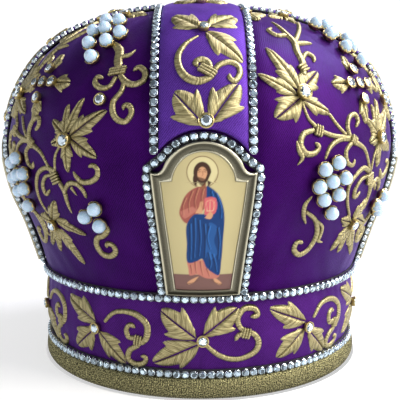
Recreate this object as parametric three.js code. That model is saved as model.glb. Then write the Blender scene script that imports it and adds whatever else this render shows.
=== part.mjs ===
// A bishop's mitre: a round domed crown of four cloth panels on an upright band, with padded
// strips crossing over the top, four framed icon plates, chains of clear stones, bunches of
// pearls and set stones. Millimetres, +Z up, the front icon faces -Y, and the origin is on the
// surface it rests on, under the middle of the crown.
import * as THREE from "three";
import { mergeVertices } from "three/addons/utils/BufferGeometryUtils.js";

// Driving sizes

const facetsRound = 28; // flat faces in one turn of the crown, the band and the rings
const gap = 0.3; // clearance between pieces that touch
const facetRoom = 0.45; // added under a long piece, whose straight facets dip towards the crown
const cloth = 2.6; // wall of the crown panels and of the band, with its stiff padding

const bandRadius = 97; // outside of the band at its fullest
const bandDip = 2.2; // how far the band draws in under each ring of stones
const footChainHeight = 13.4; // middle of the chain at the foot of the band
const topChainHeight = 54.7; // middle of the chain where the crown starts

const crownRadius = 117.9; // outside of the crown panels at their widest
const crownTop = 211; // top of the crown panels

const braidHeight = 11.2; // how far the braid stands up the outside
const braidTuck = 7; // how far it is turned up inside
const braidThickness = 2;
const braidBulge = 1.2; // how far its rolled edge swells outwards

const stripWidth = 42.4;
const stripThickness = 3.4; // along the middle, where the padding is
const stripEdge = 1.7; // thickness at its sewn edges

const chainWidth = 3.8; // a chain of stones, across one cup

const iconFoot = 4.1; // from the middle of the top chain up to the foot of the frame
const iconShoulder = 71; // up to the frame's shoulders
const iconCrown = 85.3; // up to the top of its arch
const iconFootWidth = 36.6;
const iconShoulderWidth = 49.6;
const iconArchRadius = 21.5;
const frameBorder = 4.6; // width of the frame's moulding
const frameFootBorder = 2.6; // the same along the foot
const frameDepth = 4.9; // from the crown to the top of the rim
const frameLip = 3.4; // from the crown to the inner edge
const frameRim = 0.2; // share of the border that the raised rim takes
const plateDepth = 2.9; // from the crown to the face of the plate

const pearlDiameter = 7.1;
const pearlPitch = 8.5; // from pearl to pearl in a bunch
const cupDiameter = 8.6;
const cupHeight = 3.3;
const pearlSides = 10;

const stoneSetting = 8; // across the gold setting of a main stone
const stoneHeight = 4.2;
const stoneTable = 0.52; // share of the setting's radius that the flat table takes
const stoneGirdle = 0.62; // share of the height where the facets start
const stoneSides = 8;

// The crown's foot stands over the band, a little outside the band's drawn-in top edge.
const crownFootRadius = bandRadius - 0.2 * bandDip;

// The crown's outline from its foot, at the top chain, to its top: height as a share of the
// crown's rise, reach as a share of its radius.
const crownSections = [
  { height: 0, reach: crownFootRadius / crownRadius },
  { height: 0.192, reach: 0.9 },
  { height: 0.2975, reach: 0.957 },
  { height: 0.384, reach: 0.986 },
  { height: 0.48, reach: 1 },
  { height: 0.576, reach: 0.984 },
  { height: 0.662, reach: 0.948 },
  { height: 0.75, reach: 0.884 },
  { height: 0.8305, reach: 0.794 },
  { height: 0.899, reach: 0.672 },
  { height: 0.944, reach: 0.525 },
  { height: 0.979, reach: 0.335 },
  { height: 1, reach: 0 },
];

// The band's outline: height as a share of the way from the foot to the crown, draw as a share
// of the dip under the rings of stones.
const bandSections = [
  { height: 0, draw: 1 },
  { height: 0.24, draw: 1 },
  { height: 0.45, draw: 0.15 },
  { height: 0.72, draw: 0 },
  { height: 1, draw: 0.9 },
];

// The rows of a bunch of pearls: how many stand side by side, and how far the row lies above
// the bunch's middle, as a share of the pitch.
const bunchOfEight = [
  { pearls: 2, rise: 1.2 },
  { pearls: 3, rise: 0.24 },
  { pearls: 2, rise: -0.68 },
  { pearls: 1, rise: -1.66 },
];
const bunchOfThree = [
  { pearls: 1, rise: 0.5 },
  { pearls: 2, rise: -0.42 },
];

// The bunches on each crown panel: turn in degrees to the right of the panel's middle, rise as a
// share of the way up the crown's outline to its top, and tilt of the bunch in degrees.
const panelBunches = [
  { name: "pearls_low", rows: bunchOfEight, turn: -12, rise: 0.261, tilt: 15 },
  { name: "pearls_small", rows: bunchOfThree, turn: 16.3, rise: 0.196, tilt: 95 },
  { name: "pearls_high", rows: bunchOfEight, turn: 11.1, rise: 0.605, tilt: -6 },
];

// The main stones on each crown panel, placed in the same way.
const panelStones = [
  { name: "stone_high", turn: -19, rise: 0.454 },
  { name: "stone_low", turn: 9.5, rise: 0.354 },
];
const stripStoneRoom = 0.3; // between each strip's stone and the chain over the icon's arch

// Colours

const satin = new THREE.MeshStandardMaterial({ color: 0x45187a, roughness: 0.5 });
const stripSatin = new THREE.MeshStandardMaterial({ color: 0x5a2a9c, roughness: 0.45 });
const goldBraid = new THREE.MeshStandardMaterial({ color: 0xa8935a, roughness: 0.45, metalness: 0.8 });
const silverCups = new THREE.MeshStandardMaterial({ color: 0xcfd6d8, roughness: 0.25, metalness: 0.6 });
const bronze = new THREE.MeshStandardMaterial({ color: 0x8d8563, roughness: 0.4, metalness: 0.9 });
const paint = new THREE.MeshStandardMaterial({ color: 0xd9cf9a, roughness: 0.35 });
const pearlWhite = new THREE.MeshStandardMaterial({ color: 0xc9d8ea, roughness: 0.2 });
const clearStone = new THREE.MeshStandardMaterial({ color: 0xd7dfe2, roughness: 0.1, metalness: 0.1 });

const mitre = new THREE.Group();

function addPiece(name, geometry, material, parent = mitre) {
  const mesh = new THREE.Mesh(geometry, material);
  mesh.name = name;
  parent.add(mesh);
  return mesh;
}

function geometryOf(points, triangles) {
  const geometry = new THREE.BufferGeometry();
  geometry.setAttribute("position", new THREE.Float32BufferAttribute(points.flatMap((p) => [p.x, p.y, p.z]), 3));
  geometry.setIndex(triangles.flat());
  return geometry;
}

// A slab from two matching grids of points, one for each face, with walls round its edges.
// Seen from outside, a row runs from left to right and the rows run upwards.
function slab(outer, inner) {
  const rows = outer.length;
  const columns = outer[0].length;
  const at = (row, column, face) => (face * rows + row) * columns + column;
  const triangles = [];
  for (let r = 0; r < rows - 1; r++) {
    for (let c = 0; c < columns - 1; c++) {
      triangles.push([at(r, c, 0), at(r, c + 1, 0), at(r + 1, c + 1, 0)]);
      triangles.push([at(r, c, 0), at(r + 1, c + 1, 0), at(r + 1, c, 0)]);
      triangles.push([at(r, c, 1), at(r + 1, c + 1, 1), at(r, c + 1, 1)]);
      triangles.push([at(r, c, 1), at(r + 1, c, 1), at(r + 1, c + 1, 1)]);
    }
  }
  const edge = [];
  for (let c = 0; c < columns - 1; c++) edge.push([0, c]);
  for (let r = 0; r < rows - 1; r++) edge.push([r, columns - 1]);
  for (let c = columns - 1; c > 0; c--) edge.push([rows - 1, c]);
  for (let r = rows - 1; r > 0; r--) edge.push([r, 0]);
  edge.forEach(([r, c], i) => {
    const [nextR, nextC] = edge[(i + 1) % edge.length];
    triangles.push([at(r, c, 0), at(r, c, 1), at(nextR, nextC, 1)]);
    triangles.push([at(r, c, 0), at(nextR, nextC, 1), at(nextR, nextC, 0)]);
  });
  return tidy(geometryOf([...outer.flat(), ...inner.flat()], triangles));
}

// The same geometry with equal points merged and triangles without area left out.
function tidy(geometry) {
  const merged = mergeVertices(geometry, 1e-4);
  const index = merged.index.array;
  const kept = [];
  for (let i = 0; i < index.length; i += 3) {
    const [a, b, c] = [index[i], index[i + 1], index[i + 2]];
    if (a !== b && b !== c && c !== a) kept.push(a, b, c);
  }
  merged.setIndex(kept);
  return merged;
}

// The crown's outline as one smooth line from the front foot over the top to the back foot

const crownRise = crownTop - topChainHeight;
const frontLine = crownSections.map(
  ({ height, reach }) => new THREE.Vector3(0, -reach * crownRadius, topChainHeight + height * crownRise),
);
const backLine = frontLine.slice(0, -1).reverse().map((p) => new THREE.Vector3(0, -p.y, p.z));
const crownLine = new THREE.CatmullRomCurve3([...frontLine, ...backLine], false, "centripetal");
crownLine.arcLengthDivisions = 1200;
const lineLength = crownLine.getLength();
const crownLength = lineLength / 2; // from the foot to the top, along the cloth
const flatTop = 0.07 * crownLength; // nearer the top than this the crown is taken as one sphere

// A place on the crown's outline: its distance from the axis, its height, and the outward
// direction there.
function onOutline(along) {
  const share = along / lineLength;
  const point = crownLine.getPointAt(share);
  const tangent = crownLine.getTangentAt(share);
  return { radius: -point.y, z: point.z, outR: tangent.z, outZ: tangent.y };
}

// A point over the crown beside one of its four middle lines: across to the right, along from
// the foot, lift above the cloth.
function overCrown(across, along, lift) {
  const place = onOutline(along);
  const beside = Math.min(along, crownLength - flatTop, lineLength - along);
  const round = onOutline(Math.min(Math.max(beside, 0), crownLength - flatTop));
  const ball = round.radius / round.outR;
  const angle = across / ball;
  const reach = (ball + lift) * Math.cos(angle) - ball;
  return new THREE.Vector3(
    (ball + lift) * Math.sin(angle),
    -place.radius - reach * place.outR,
    place.z + reach * place.outZ,
  );
}

// The four sides of the crown: the group that holds each side's pieces is turned to face it.
const sides = [
  { name: "front", turn: 0 },
  { name: "right", turn: Math.PI / 2 },
  { name: "back", turn: Math.PI },
  { name: "left", turn: -Math.PI / 2 },
];
for (const side of sides) {
  side.group = new THREE.Group();
  side.group.rotation.z = side.turn;
  mitre.add(side.group);
}

// Crown panels: each fills the quarter to the right of a side's middle, with a seam at its edges

const panelColumns = facetsRound / 4;

function panelGrid(depth) {
  const alongs = crownSections.map((row, i) => {
    const target = topChainHeight + row.height * crownRise;
    return i === crownSections.length - 1 ? crownLength : alongAtHeight(target);
  });
  return alongs.map((along, row) => {
    const place = onOutline(along);
    const foot = row === 0;
    const seamRoom = 0.6 * gap; // the quarter is moved out by half a seam, so it is drawn in by as much
    const inward = foot ? depth / place.outR : depth * place.outR;
    const radius = Math.max(place.radius - inward - seamRoom, 0);
    const z = foot ? place.z + gap / 2 : place.z - depth * place.outZ;
    return Array.from({ length: panelColumns + 1 }, (_, column) => {
      const angle = (column / panelColumns) * (Math.PI / 2);
      return new THREE.Vector3(
        radius * Math.sin(angle) + gap / 2,
        -radius * Math.cos(angle) - gap / 2,
        z,
      );
    });
  });
}

// How far along the outline a height is reached, found by halving.
function alongAtHeight(height) {
  let [low, high] = [0, crownLength];
  for (let i = 0; i < 40; i++) {
    const middle = (low + high) / 2;
    if (onOutline(middle).z < height) low = middle;
    else high = middle;
  }
  return (low + high) / 2;
}

const panelNames = ["front_right", "back_right", "back_left", "front_left"];
sides.forEach((side, i) => {
  addPiece(`crown_panel_${panelNames[i]}`, slab(panelGrid(0), panelGrid(cloth)), satin, side.group);
});

// Icon frames, plates and chains: the outline of the right half of an icon, from its foot to
// the top of its arch, as places across and along

const archSteps = 4;
const sideSteps = 5;

function iconHalf({ foot, shoulder, crown, footHalf, shoulderHalf, archRadius, notchRise }) {
  const centre = crown - archRadius;
  const notch = shoulder + notchRise;
  const start = Math.asin(THREE.MathUtils.clamp((notch - centre) / archRadius, 0, 1));
  const half = [];
  for (let i = 0; i <= sideSteps; i++) {
    const share = i / sideSteps;
    half.push({
      across: footHalf + (shoulderHalf - footHalf) * share,
      along: foot + (shoulder - foot) * share,
    });
  }
  for (let i = 0; i <= archSteps; i++) {
    const angle = start + (Math.PI / 2 - start) * (i / archSteps);
    const onArc = centre + archRadius * Math.sin(angle);
    half.push({ across: archRadius * Math.cos(angle), along: i === 0 ? notch : onArc });
  }
  return half;
}

const outerHalf = iconHalf({
  foot: iconFoot,
  shoulder: iconShoulder,
  crown: iconCrown,
  footHalf: iconFootWidth / 2,
  shoulderHalf: iconShoulderWidth / 2,
  archRadius: iconArchRadius,
  notchRise: 0.3,
});
const innerSizes = {
  foot: iconFoot + frameFootBorder,
  shoulder: iconShoulder - frameBorder,
  crown: iconCrown - frameBorder,
  footHalf: iconFootWidth / 2 - frameBorder,
  shoulderHalf: iconShoulderWidth / 2 - frameBorder,
  archRadius: iconArchRadius - frameBorder - 2,
  notchRise: 0.6,
};
const innerHalf = iconHalf(innerSizes);
const plateHalf = iconHalf({
  foot: innerSizes.foot + gap,
  shoulder: innerSizes.shoulder - gap,
  crown: innerSizes.crown - gap,
  footHalf: innerSizes.footHalf - gap,
  shoulderHalf: innerSizes.shoulderHalf - gap,
  archRadius: innerSizes.archRadius - gap,
  notchRise: innerSizes.notchRise - gap / 4,
});

// The whole outline, round from the foot's middle, to the right, over the arch and back.
function wholeOutline(half) {
  const left = half.slice(0, -1).reverse().map(({ across, along }) => ({ across: -across, along }));
  return [{ across: 0, along: half[0].along }, ...half, ...left];
}

// The frame's moulding: share of the border from its outside, and lift above the crown.
const frameSection = [
  { share: 0, lift: gap + facetRoom },
  { share: 0, lift: frameDepth - 0.5 },
  { share: frameRim, lift: frameDepth },
  { share: 1, lift: frameLip },
  { share: 1, lift: gap + facetRoom },
];

function frameGeometry() {
  const outer = wholeOutline(outerHalf);
  const inner = wholeOutline(innerHalf);
  const count = frameSection.length;
  const points = outer.flatMap((edge, i) =>
    frameSection.map(({ share, lift }) =>
      overCrown(
        edge.across + (inner[i].across - edge.across) * share,
        edge.along + (inner[i].along - edge.along) * share,
        lift,
      ),
    ),
  );
  const triangles = [];
  outer.forEach((_, i) => {
    const next = (i + 1) % outer.length;
    for (let k = 0; k < count; k++) {
      const turn = (k + 1) % count;
      triangles.push([i * count + k, next * count + k, next * count + turn]);
      triangles.push([i * count + k, next * count + turn, i * count + turn]);
    }
  });
  return geometryOf(points, triangles);
}

const plateColumns = 3;

function plateGrid(lift) {
  return plateHalf.map(({ across, along }) =>
    Array.from({ length: plateColumns + 1 }, (_, column) =>
      overCrown(across * ((2 * column) / plateColumns - 1), along, lift),
    ),
  );
}

// A closed tube along a line over the crown, with an eight-sided section
const tubeSides = 8;
const chainSection = new THREE.Shape(
  Array.from({ length: tubeSides }, (_, i) => {
    const angle = ((i + 0.5) / tubeSides) * 2 * Math.PI;
    return new THREE.Vector2((chainWidth / 2) * Math.cos(angle), (chainWidth / 2) * Math.sin(angle));
  }),
);
const chainStep = 3.8 * chainWidth;
const chainLift = chainWidth / 2 + gap + 0.6 * facetRoom;

// The tube has a section at each of its points, so the spacing of the points is its own.
class ThroughPoints extends THREE.CatmullRomCurve3 {
  getPointAt(share, target) {
    return this.getPoint(share, target);
  }
  getTangentAt(share, target) {
    return this.getTangent(share, target);
  }
}

function chainGeometry(points) {
  const extrudePath = new ThroughPoints(points, false, "centripetal");
  const steps = points.length - 1;
  const tube = new THREE.ExtrudeGeometry(chainSection, { steps, extrudePath, bevelEnabled: false });
  tube.deleteAttribute("normal");
  tube.deleteAttribute("uv");
  return mergeVertices(tube, 1e-4);
}

// The chain round an icon follows the frame's outline, rounding its corners.
const iconChainGap = chainWidth / 2 + gap + 0.4;

function iconChainPlaces() {
  const first = { across: iconFootWidth / 2 + iconChainGap, along: chainWidth / 2 + 2 * gap };
  const shoulder = { across: iconShoulderWidth / 2 + iconChainGap, along: iconShoulder };
  const places = [];
  const steps = sideSteps - 1;
  for (let i = 0; i < steps; i++) {
    const share = (i / steps) * 0.97;
    places.push({
      across: first.across + (shoulder.across - first.across) * share,
      along: first.along + (shoulder.along - first.along) * share,
    });
  }
  places.push({ across: shoulder.across, along: iconShoulder - 1.5 });
  places.push({ across: shoulder.across - 1.6, along: iconShoulder + iconChainGap * 0.95 });
  const radius = iconArchRadius + iconChainGap;
  const centre = iconCrown - iconArchRadius;
  const archAngles = [32, 48, 64, 78];
  for (const degrees of archAngles) {
    const angle = THREE.MathUtils.degToRad(degrees);
    places.push({ across: radius * Math.cos(angle), along: centre + radius * Math.sin(angle) });
  }
  const left = places.slice().reverse().map(({ across, along }) => ({ across: -across, along }));
  return [...places, { across: 0, along: centre + radius }, ...left];
}

for (const side of sides) {
  addPiece(`icon_frame_${side.name}`, frameGeometry(), bronze, side.group);
  addPiece(`icon_plate_${side.name}`, slab(plateGrid(plateDepth), plateGrid(gap + facetRoom)), paint, side.group);
  const places = iconChainPlaces().map(({ across, along }) => overCrown(across, along, chainLift));
  addPiece(`icon_chain_${side.name}`, chainGeometry(places), silverCups, side.group);
}

// Strips: the lower end of each follows the chain over the icon's arch

const stripColumns = 4;
const stripLift = gap + 0.4 * facetRoom;
const archReach = iconArchRadius + iconChainGap + chainWidth / 2 + gap + 2 * facetRoom;

function stripFoot(across) {
  const centre = iconCrown - iconArchRadius;
  return centre + Math.sqrt(archReach ** 2 - across ** 2);
}

const stripSections = crownSections.filter(({ height }) => height > 0.56);

// A strip from the icon's arch up to the distance `end` along the outline, both faces.
function stripGrid(top, alongs) {
  return alongs.map((along, row) =>
    Array.from({ length: stripColumns + 1 }, (_, column) => {
      const share = (2 * column) / stripColumns - 1;
      const across = (share * stripWidth) / 2;
      const thick = stripEdge + (stripThickness - stripEdge) * (1 - share ** 2);
      const place = typeof along === "function" ? along(across) : along;
      return overCrown(across, place, stripLift + (top ? thick : 0));
    }),
  );
}

const risingPlaces = stripSections.slice(0, -1).map(({ height }) => alongAtHeight(topChainHeight + height * crownRise));
const longPlaces = [
  stripFoot,
  ...risingPlaces,
  crownLength,
  ...risingPlaces.slice().reverse().map((along) => lineLength - along),
  (across) => lineLength - stripFoot(across),
];
const crossing = stripWidth / 2 + 2 * gap + chainWidth; // from the middle to where side pieces end
const sidePlaces = [stripFoot, ...risingPlaces, crownLength - crossing];

addPiece("cross_strip_front_to_back", slab(stripGrid(true, longPlaces), stripGrid(false, longPlaces)), stripSatin);
for (const side of sides.filter(({ name }) => name === "right" || name === "left")) {
  addPiece(`cross_strip_${side.name}`, slab(stripGrid(true, sidePlaces), stripGrid(false, sidePlaces)), stripSatin, side.group);
}

// Chains along both edges of the strips, from the chains round the icons

const stripChainAcross = stripWidth / 2 + gap + chainWidth / 2;
const stripChainFoot = iconShoulder + iconChainGap + 1.5 * chainWidth;

function stripChainGeometry(across, end) {
  const count = Math.round((end - stripChainFoot) / chainStep);
  const points = Array.from({ length: count + 1 }, (_, i) =>
    overCrown(across, stripChainFoot + ((end - stripChainFoot) * i) / count, chainLift),
  );
  return chainGeometry(points);
}

for (const [edge, across] of [["left", -stripChainAcross], ["right", stripChainAcross]]) {
  addPiece(`strip_chain_long_${edge}`, stripChainGeometry(across, lineLength - stripChainFoot), silverCups);
  for (const side of sides.filter(({ name }) => name === "right" || name === "left")) {
    const geometry = stripChainGeometry(across, crownLength - crossing);
    addPiece(`strip_chain_${side.name}_${edge}`, geometry, silverCups, side.group);
  }
}

// Band, hem braid and the two rings of stones: outlines turned round the axis

function turned(profile) {
  const closed = [...profile, profile[0]].map(([radius, z]) => new THREE.Vector2(radius, z));
  const lathe = new THREE.LatheGeometry(closed, facetsRound, Math.PI);
  lathe.rotateX(Math.PI / 2);
  lathe.deleteAttribute("normal");
  lathe.deleteAttribute("uv");
  return mergeVertices(lathe, 1e-4);
}

const bandFoot = braidThickness + gap;
const bandTop = topChainHeight - gap / 2;
const bandOuter = bandSections.map(({ height, draw }) => [
  bandRadius - draw * bandDip,
  bandFoot + height * (bandTop - bandFoot),
]);
const bandInner = [...bandOuter].filter((_, i) => i !== 1 && i !== 3).reverse().map(([radius, z]) => [radius - cloth, z]);
addPiece("band", turned([...bandOuter, ...bandInner]), satin);

const footRadius = bandRadius - bandDip;
const slotOuter = footRadius + gap;
const slotInner = footRadius - cloth - gap;
const braidOuter = slotOuter + braidThickness;
const braidInner = slotInner - braidThickness;
addPiece(
  "hem_braid",
  turned([
    [braidOuter - 0.6, 0],
    [braidOuter + braidBulge, 0.25 * braidHeight],
    [braidOuter + braidBulge, 0.65 * braidHeight],
    [braidOuter, braidHeight],
    [slotOuter, braidHeight],
    [slotOuter, braidThickness],
    [slotInner, braidThickness],
    [slotInner, braidTuck],
    [braidInner, braidTuck],
    [braidInner, 0],
  ]),
  goldBraid,
);

function ringOfStones(radius, height) {
  const centre = radius + chainLift;
  return turned(
    Array.from({ length: tubeSides }, (_, i) => {
      const angle = ((i + 0.5) / tubeSides) * 2 * Math.PI;
      return [centre + (chainWidth / 2) * Math.cos(angle), height + (chainWidth / 2) * Math.sin(angle)];
    }),
  );
}

addPiece("ring_chain_foot", ringOfStones(footRadius, footChainHeight), silverCups);
addPiece("ring_chain_top", ringOfStones(crownFootRadius, topChainHeight), silverCups);

// Bunches of pearls and main stones: each is made flat and set on the crown, square to it

function seatOnCrown(turn, rise, lift, parent) {
  const place = onOutline(rise * crownLength);
  const seat = new THREE.Group();
  const upright = new THREE.Group();
  upright.rotation.z = turn;
  seat.position.set(0, -place.radius - lift * place.outR, place.z + lift * place.outZ);
  seat.rotation.x = Math.atan2(place.outR, place.outZ);
  upright.add(seat);
  parent.add(upright);
  return seat;
}

function pearlPlaces(rows, tilt) {
  const angle = THREE.MathUtils.degToRad(tilt);
  return rows.flatMap(({ pearls, rise }) =>
    Array.from({ length: pearls }, (_, i) => {
      const [x, y] = [(i - (pearls - 1) / 2) * pearlPitch, rise * pearlPitch];
      return new THREE.Vector2(x, y).rotateAround(new THREE.Vector2(), angle);
    }),
  );
}

// The outline of a bunch's joined cups: straight edges that each touch the outermost cup.
const cupCorners = 12;

function cupOutline(places) {
  const step = (2 * Math.PI) / cupCorners;
  const reach = (angle) =>
    Math.max(...places.map((p) => p.x * Math.cos(angle) + p.y * Math.sin(angle))) + cupDiameter / 2;
  return Array.from({ length: cupCorners }, (_, i) => {
    const [first, second] = [i * step, (i + 1) * step];
    const [near, far] = [reach(first), reach(second)];
    return new THREE.Vector2(
      (near * Math.sin(second) - far * Math.sin(first)) / Math.sin(step),
      (far * Math.cos(first) - near * Math.cos(second)) / Math.sin(step),
    );
  });
}

function circleOfPoints(middle, radius, count, z) {
  return Array.from({ length: count }, (_, i) => {
    const angle = (i / count) * 2 * Math.PI;
    return new THREE.Vector3(middle.x + radius * Math.cos(angle), middle.y + radius * Math.sin(angle), z);
  });
}

// A bunch is one solid: the cups make a plate, and each pearl rises from a round in its top.
function bunchGeometry(rows, tilt) {
  const places = pearlPlaces(rows, tilt);
  const outline = cupOutline(places);
  const radius = pearlDiameter / 2;
  const rounds = places.map((place) => circleOfPoints(place, radius, pearlSides, cupHeight));
  const shoulders = places.map((place) => circleOfPoints(place, 0.74 * radius, pearlSides, cupHeight + 0.68 * radius));
  const tops = places.map((place) => new THREE.Vector3(place.x, place.y, cupHeight + radius));
  const low = outline.map((p) => new THREE.Vector3(p.x, p.y, 0));
  const high = outline.map((p) => new THREE.Vector3(p.x, p.y, cupHeight));
  const points = [...low, ...high, ...rounds.flat(), ...shoulders.flat(), ...tops];
  const count = outline.length;
  const roundStart = 2 * count;
  const shoulderStart = roundStart + places.length * pearlSides;
  const topStart = shoulderStart + places.length * pearlSides;
  const triangles = [];
  for (let i = 1; i < count - 1; i++) triangles.push([0, i + 1, i]);
  const holes = rounds.map((round) => round.map((p) => new THREE.Vector2(p.x, p.y)));
  const topFaces = THREE.ShapeUtils.triangulateShape(outline, holes).map((face) => face.map((i) => i + count));
  const turn = topFaces.reduce((sum, [a, b, c]) => sum + leftTurn(points[a], points[b], points[c]), 0);
  for (const [a, b, c] of topFaces) triangles.push(turn > 0 ? [a, b, c] : [a, c, b]);
  for (let i = 0; i < count; i++) {
    const next = (i + 1) % count;
    triangles.push([i, next, next + count], [i, next + count, i + count]);
  }
  places.forEach((_, pearl) => {
    for (let i = 0; i < pearlSides; i++) {
      const here = pearl * pearlSides + i;
      const next = pearl * pearlSides + ((i + 1) % pearlSides);
      const [low0, low1] = [roundStart + here, roundStart + next];
      const [high0, high1] = [shoulderStart + here, shoulderStart + next];
      triangles.push([low0, low1, high1], [low0, high1, high0], [high0, high1, topStart + pearl]);
    }
  });
  return geometryOf(points, triangles);
}

// Twice the area of a triangle, positive where its corners run anticlockwise.
function leftTurn(a, b, c) {
  return (b.x - a.x) * (c.y - a.y) - (b.y - a.y) * (c.x - a.x);
}

// A main stone in its setting: the upright setting, a ring of facets and the flat table.
function stoneGeometry() {
  const profile = [
    [0, 0],
    [stoneSetting / 2, 0],
    [stoneSetting / 2, stoneGirdle * stoneHeight],
    [(stoneTable * stoneSetting) / 2, stoneHeight],
    [0, stoneHeight],
  ];
  const lathe = new THREE.LatheGeometry(profile.map(([radius, z]) => new THREE.Vector2(radius, z)), stoneSides);
  lathe.rotateX(Math.PI / 2);
  lathe.deleteAttribute("normal");
  lathe.deleteAttribute("uv");
  return tidy(lathe);
}

const archChainTop = iconCrown + iconChainGap + chainWidth / 2;
const stripStoneRise = (archChainTop + stripStoneRoom + stoneSetting / 2) / crownLength;

sides.forEach((side, i) => {
  for (const { name, rows, turn, rise, tilt } of panelBunches) {
    const seat = seatOnCrown(THREE.MathUtils.degToRad(45 + turn), rise, gap, side.group);
    addPiece(`${name}_${panelNames[i]}`, bunchGeometry(rows, tilt), pearlWhite, seat);
  }
  for (const { name, turn, rise } of panelStones) {
    const seat = seatOnCrown(THREE.MathUtils.degToRad(45 + turn), rise, gap, side.group);
    addPiece(`${name}_${panelNames[i]}`, stoneGeometry(), clearStone, seat);
  }
  const seat = seatOnCrown(0, stripStoneRise, stripLift + stripThickness + gap, side.group);
  addPiece(`stone_strip_${side.name}`, stoneGeometry(), clearStone, seat);
});

export default mitre;
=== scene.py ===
"""A bishop's mitre of purple satin: four crown panels on an upright band, padded strips crossing
over the top, framed icons, chains of clear stones, gold embroidery, pearls and set stones.
Lengths are in millimetres until a piece is made; the front icon faces -Y."""
import math

import bpy
import numpy as np
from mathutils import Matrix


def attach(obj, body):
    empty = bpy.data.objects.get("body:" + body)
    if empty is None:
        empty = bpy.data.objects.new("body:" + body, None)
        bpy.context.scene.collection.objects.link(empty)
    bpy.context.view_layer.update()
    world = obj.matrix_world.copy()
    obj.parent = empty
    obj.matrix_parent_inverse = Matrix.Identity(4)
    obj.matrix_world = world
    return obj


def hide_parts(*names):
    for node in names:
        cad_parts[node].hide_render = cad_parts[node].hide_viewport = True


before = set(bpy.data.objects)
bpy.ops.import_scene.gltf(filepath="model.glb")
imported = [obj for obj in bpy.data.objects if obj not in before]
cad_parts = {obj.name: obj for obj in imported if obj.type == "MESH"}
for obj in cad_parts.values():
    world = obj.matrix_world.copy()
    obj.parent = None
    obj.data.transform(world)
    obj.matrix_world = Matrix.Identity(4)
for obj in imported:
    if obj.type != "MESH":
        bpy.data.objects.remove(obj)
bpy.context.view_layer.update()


# Crown panels
# Four quarters of stiff buckram covered in purple satin, sewn together under the strips. Each
# panel is drawn down along the strips by their seam, so a shadow lies beside every strip.

CROWN_RADIUS = 117.9
CROWN_FOOT = 54.7
CROWN_TOP = 211
CLOTH = 2.6
# height and reach, as shares of the crown's height and greatest radius
CROWN_SECTIONS = (
    (0, .819), (.192, .9), (.2975, .957), (.384, .986), (.48, 1), (.576, .984), (.662, .948),
    (.75, .884), (.8305, .794), (.899, .672), (.944, .525), (.979, .335), (1, 0),
)
PANELS = ("front_right", "back_right", "back_left", "front_left")
SIDES = ("front", "right", "back", "left")
QUARTER = math.pi / 2


def smooth_line(points, steps):
    """A centripetal Catmull-Rom line through the points, with steps samples to each span."""
    line = np.array(points, float)
    line = np.vstack([2 * line[0] - line[1], line, 2 * line[-1] - line[-2]])
    share = np.linspace(0, 1, steps, endpoint=False)[:, None]
    samples = []
    for before, start, end, after in zip(line[:-3], line[1:-2], line[2:-1], line[3:]):
        first, middle, last = (math.sqrt(np.linalg.norm(step))
                               for step in (start - before, end - start, after - end))
        near = ((start - before) / first - (end - before) / (first + middle)) * middle + end - start
        far = ((after - end) / last - (after - start) / (middle + last)) * middle + end - start
        bend = 3 * (end - start) - 2 * near - far
        twist = near + far - 2 * (end - start)
        samples.append(start + near * share + bend * share**2 + twist * share**3)
    samples.append(line[-2:-1])
    return np.vstack(samples)


rise = CROWN_TOP - CROWN_FOOT
half_line = [(reach * CROWN_RADIUS, CROWN_FOOT + height * rise) for height, reach in CROWN_SECTIONS]
outline = smooth_line(half_line + [(-r, z) for r, z in half_line[-2::-1]], 60)
outline_steps = np.hypot(*np.diff(outline, axis=0).T)
outline_along = np.concatenate([[0], np.cumsum(outline_steps)])
LINE_LENGTH = outline_along[-1]
CROWN_LENGTH = LINE_LENGTH / 2
# nearer the top than this the crown is taken as a ball, since its radius runs out
ROUNDED_UP_TO = .93 * CROWN_LENGTH
outline_slope = np.gradient(outline, outline_along, axis=0)


def on_outline(along):
    """Radius, height and outward direction of the crown, along its outline from the front foot."""
    radius, z = (np.interp(along, outline_along, outline[:, i]) for i in (0, 1))
    inward, up = (np.interp(along, outline_along, outline_slope[:, i]) for i in (0, 1))
    size = np.hypot(inward, up)
    return radius, z, up / size, -inward / size


def over_crown(across, along, lift):
    """Points beside the front's middle line: across to the right, along from the crown's foot."""
    across, along, lift = np.broadcast_arrays(*(np.asarray(v, float) for v in (across, along, lift)))
    radius, z, out_r, out_z = on_outline(along)
    beside = np.clip(np.minimum(along, LINE_LENGTH - along), 0, ROUNDED_UP_TO)
    round_radius, _, round_out, _ = on_outline(beside)
    ball = round_radius / round_out
    angle = across / ball
    reach = (ball + lift) * np.cos(angle) - ball
    return np.stack([(ball + lift) * np.sin(angle), -radius - reach * out_r, z + reach * out_z], -1)


def round_crown(turn, along, lift):
    """Points on the crown at a turn in radians to the right of the front's middle."""
    radius, z, out_r, out_z = on_outline(along)
    reach = radius + lift * out_r
    return np.stack([reach * np.sin(turn), -reach * np.cos(turn), z + lift * out_z], -1)


def turned(points, angle):
    """The points turned about the upright axis."""
    x, y, z = points[..., 0], points[..., 1], points[..., 2]
    cos, sin = math.cos(angle), math.sin(angle)
    return np.stack([x * cos - y * sin, x * sin + y * cos, z], -1)


def grid_faces(rows, columns, start=0, closed=False):
    """Quads over a grid of points whose rows run upwards and whose columns run to the right."""
    across = columns if closed else columns - 1
    cells = np.meshgrid(np.arange(rows - 1) * columns, np.arange(across), indexing="ij")
    low, left = (cell.ravel() for cell in cells)
    right = (left + 1) % columns
    high = low + columns
    return start + np.stack([low + left, low + right, high + right, high + left], -1)


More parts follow.
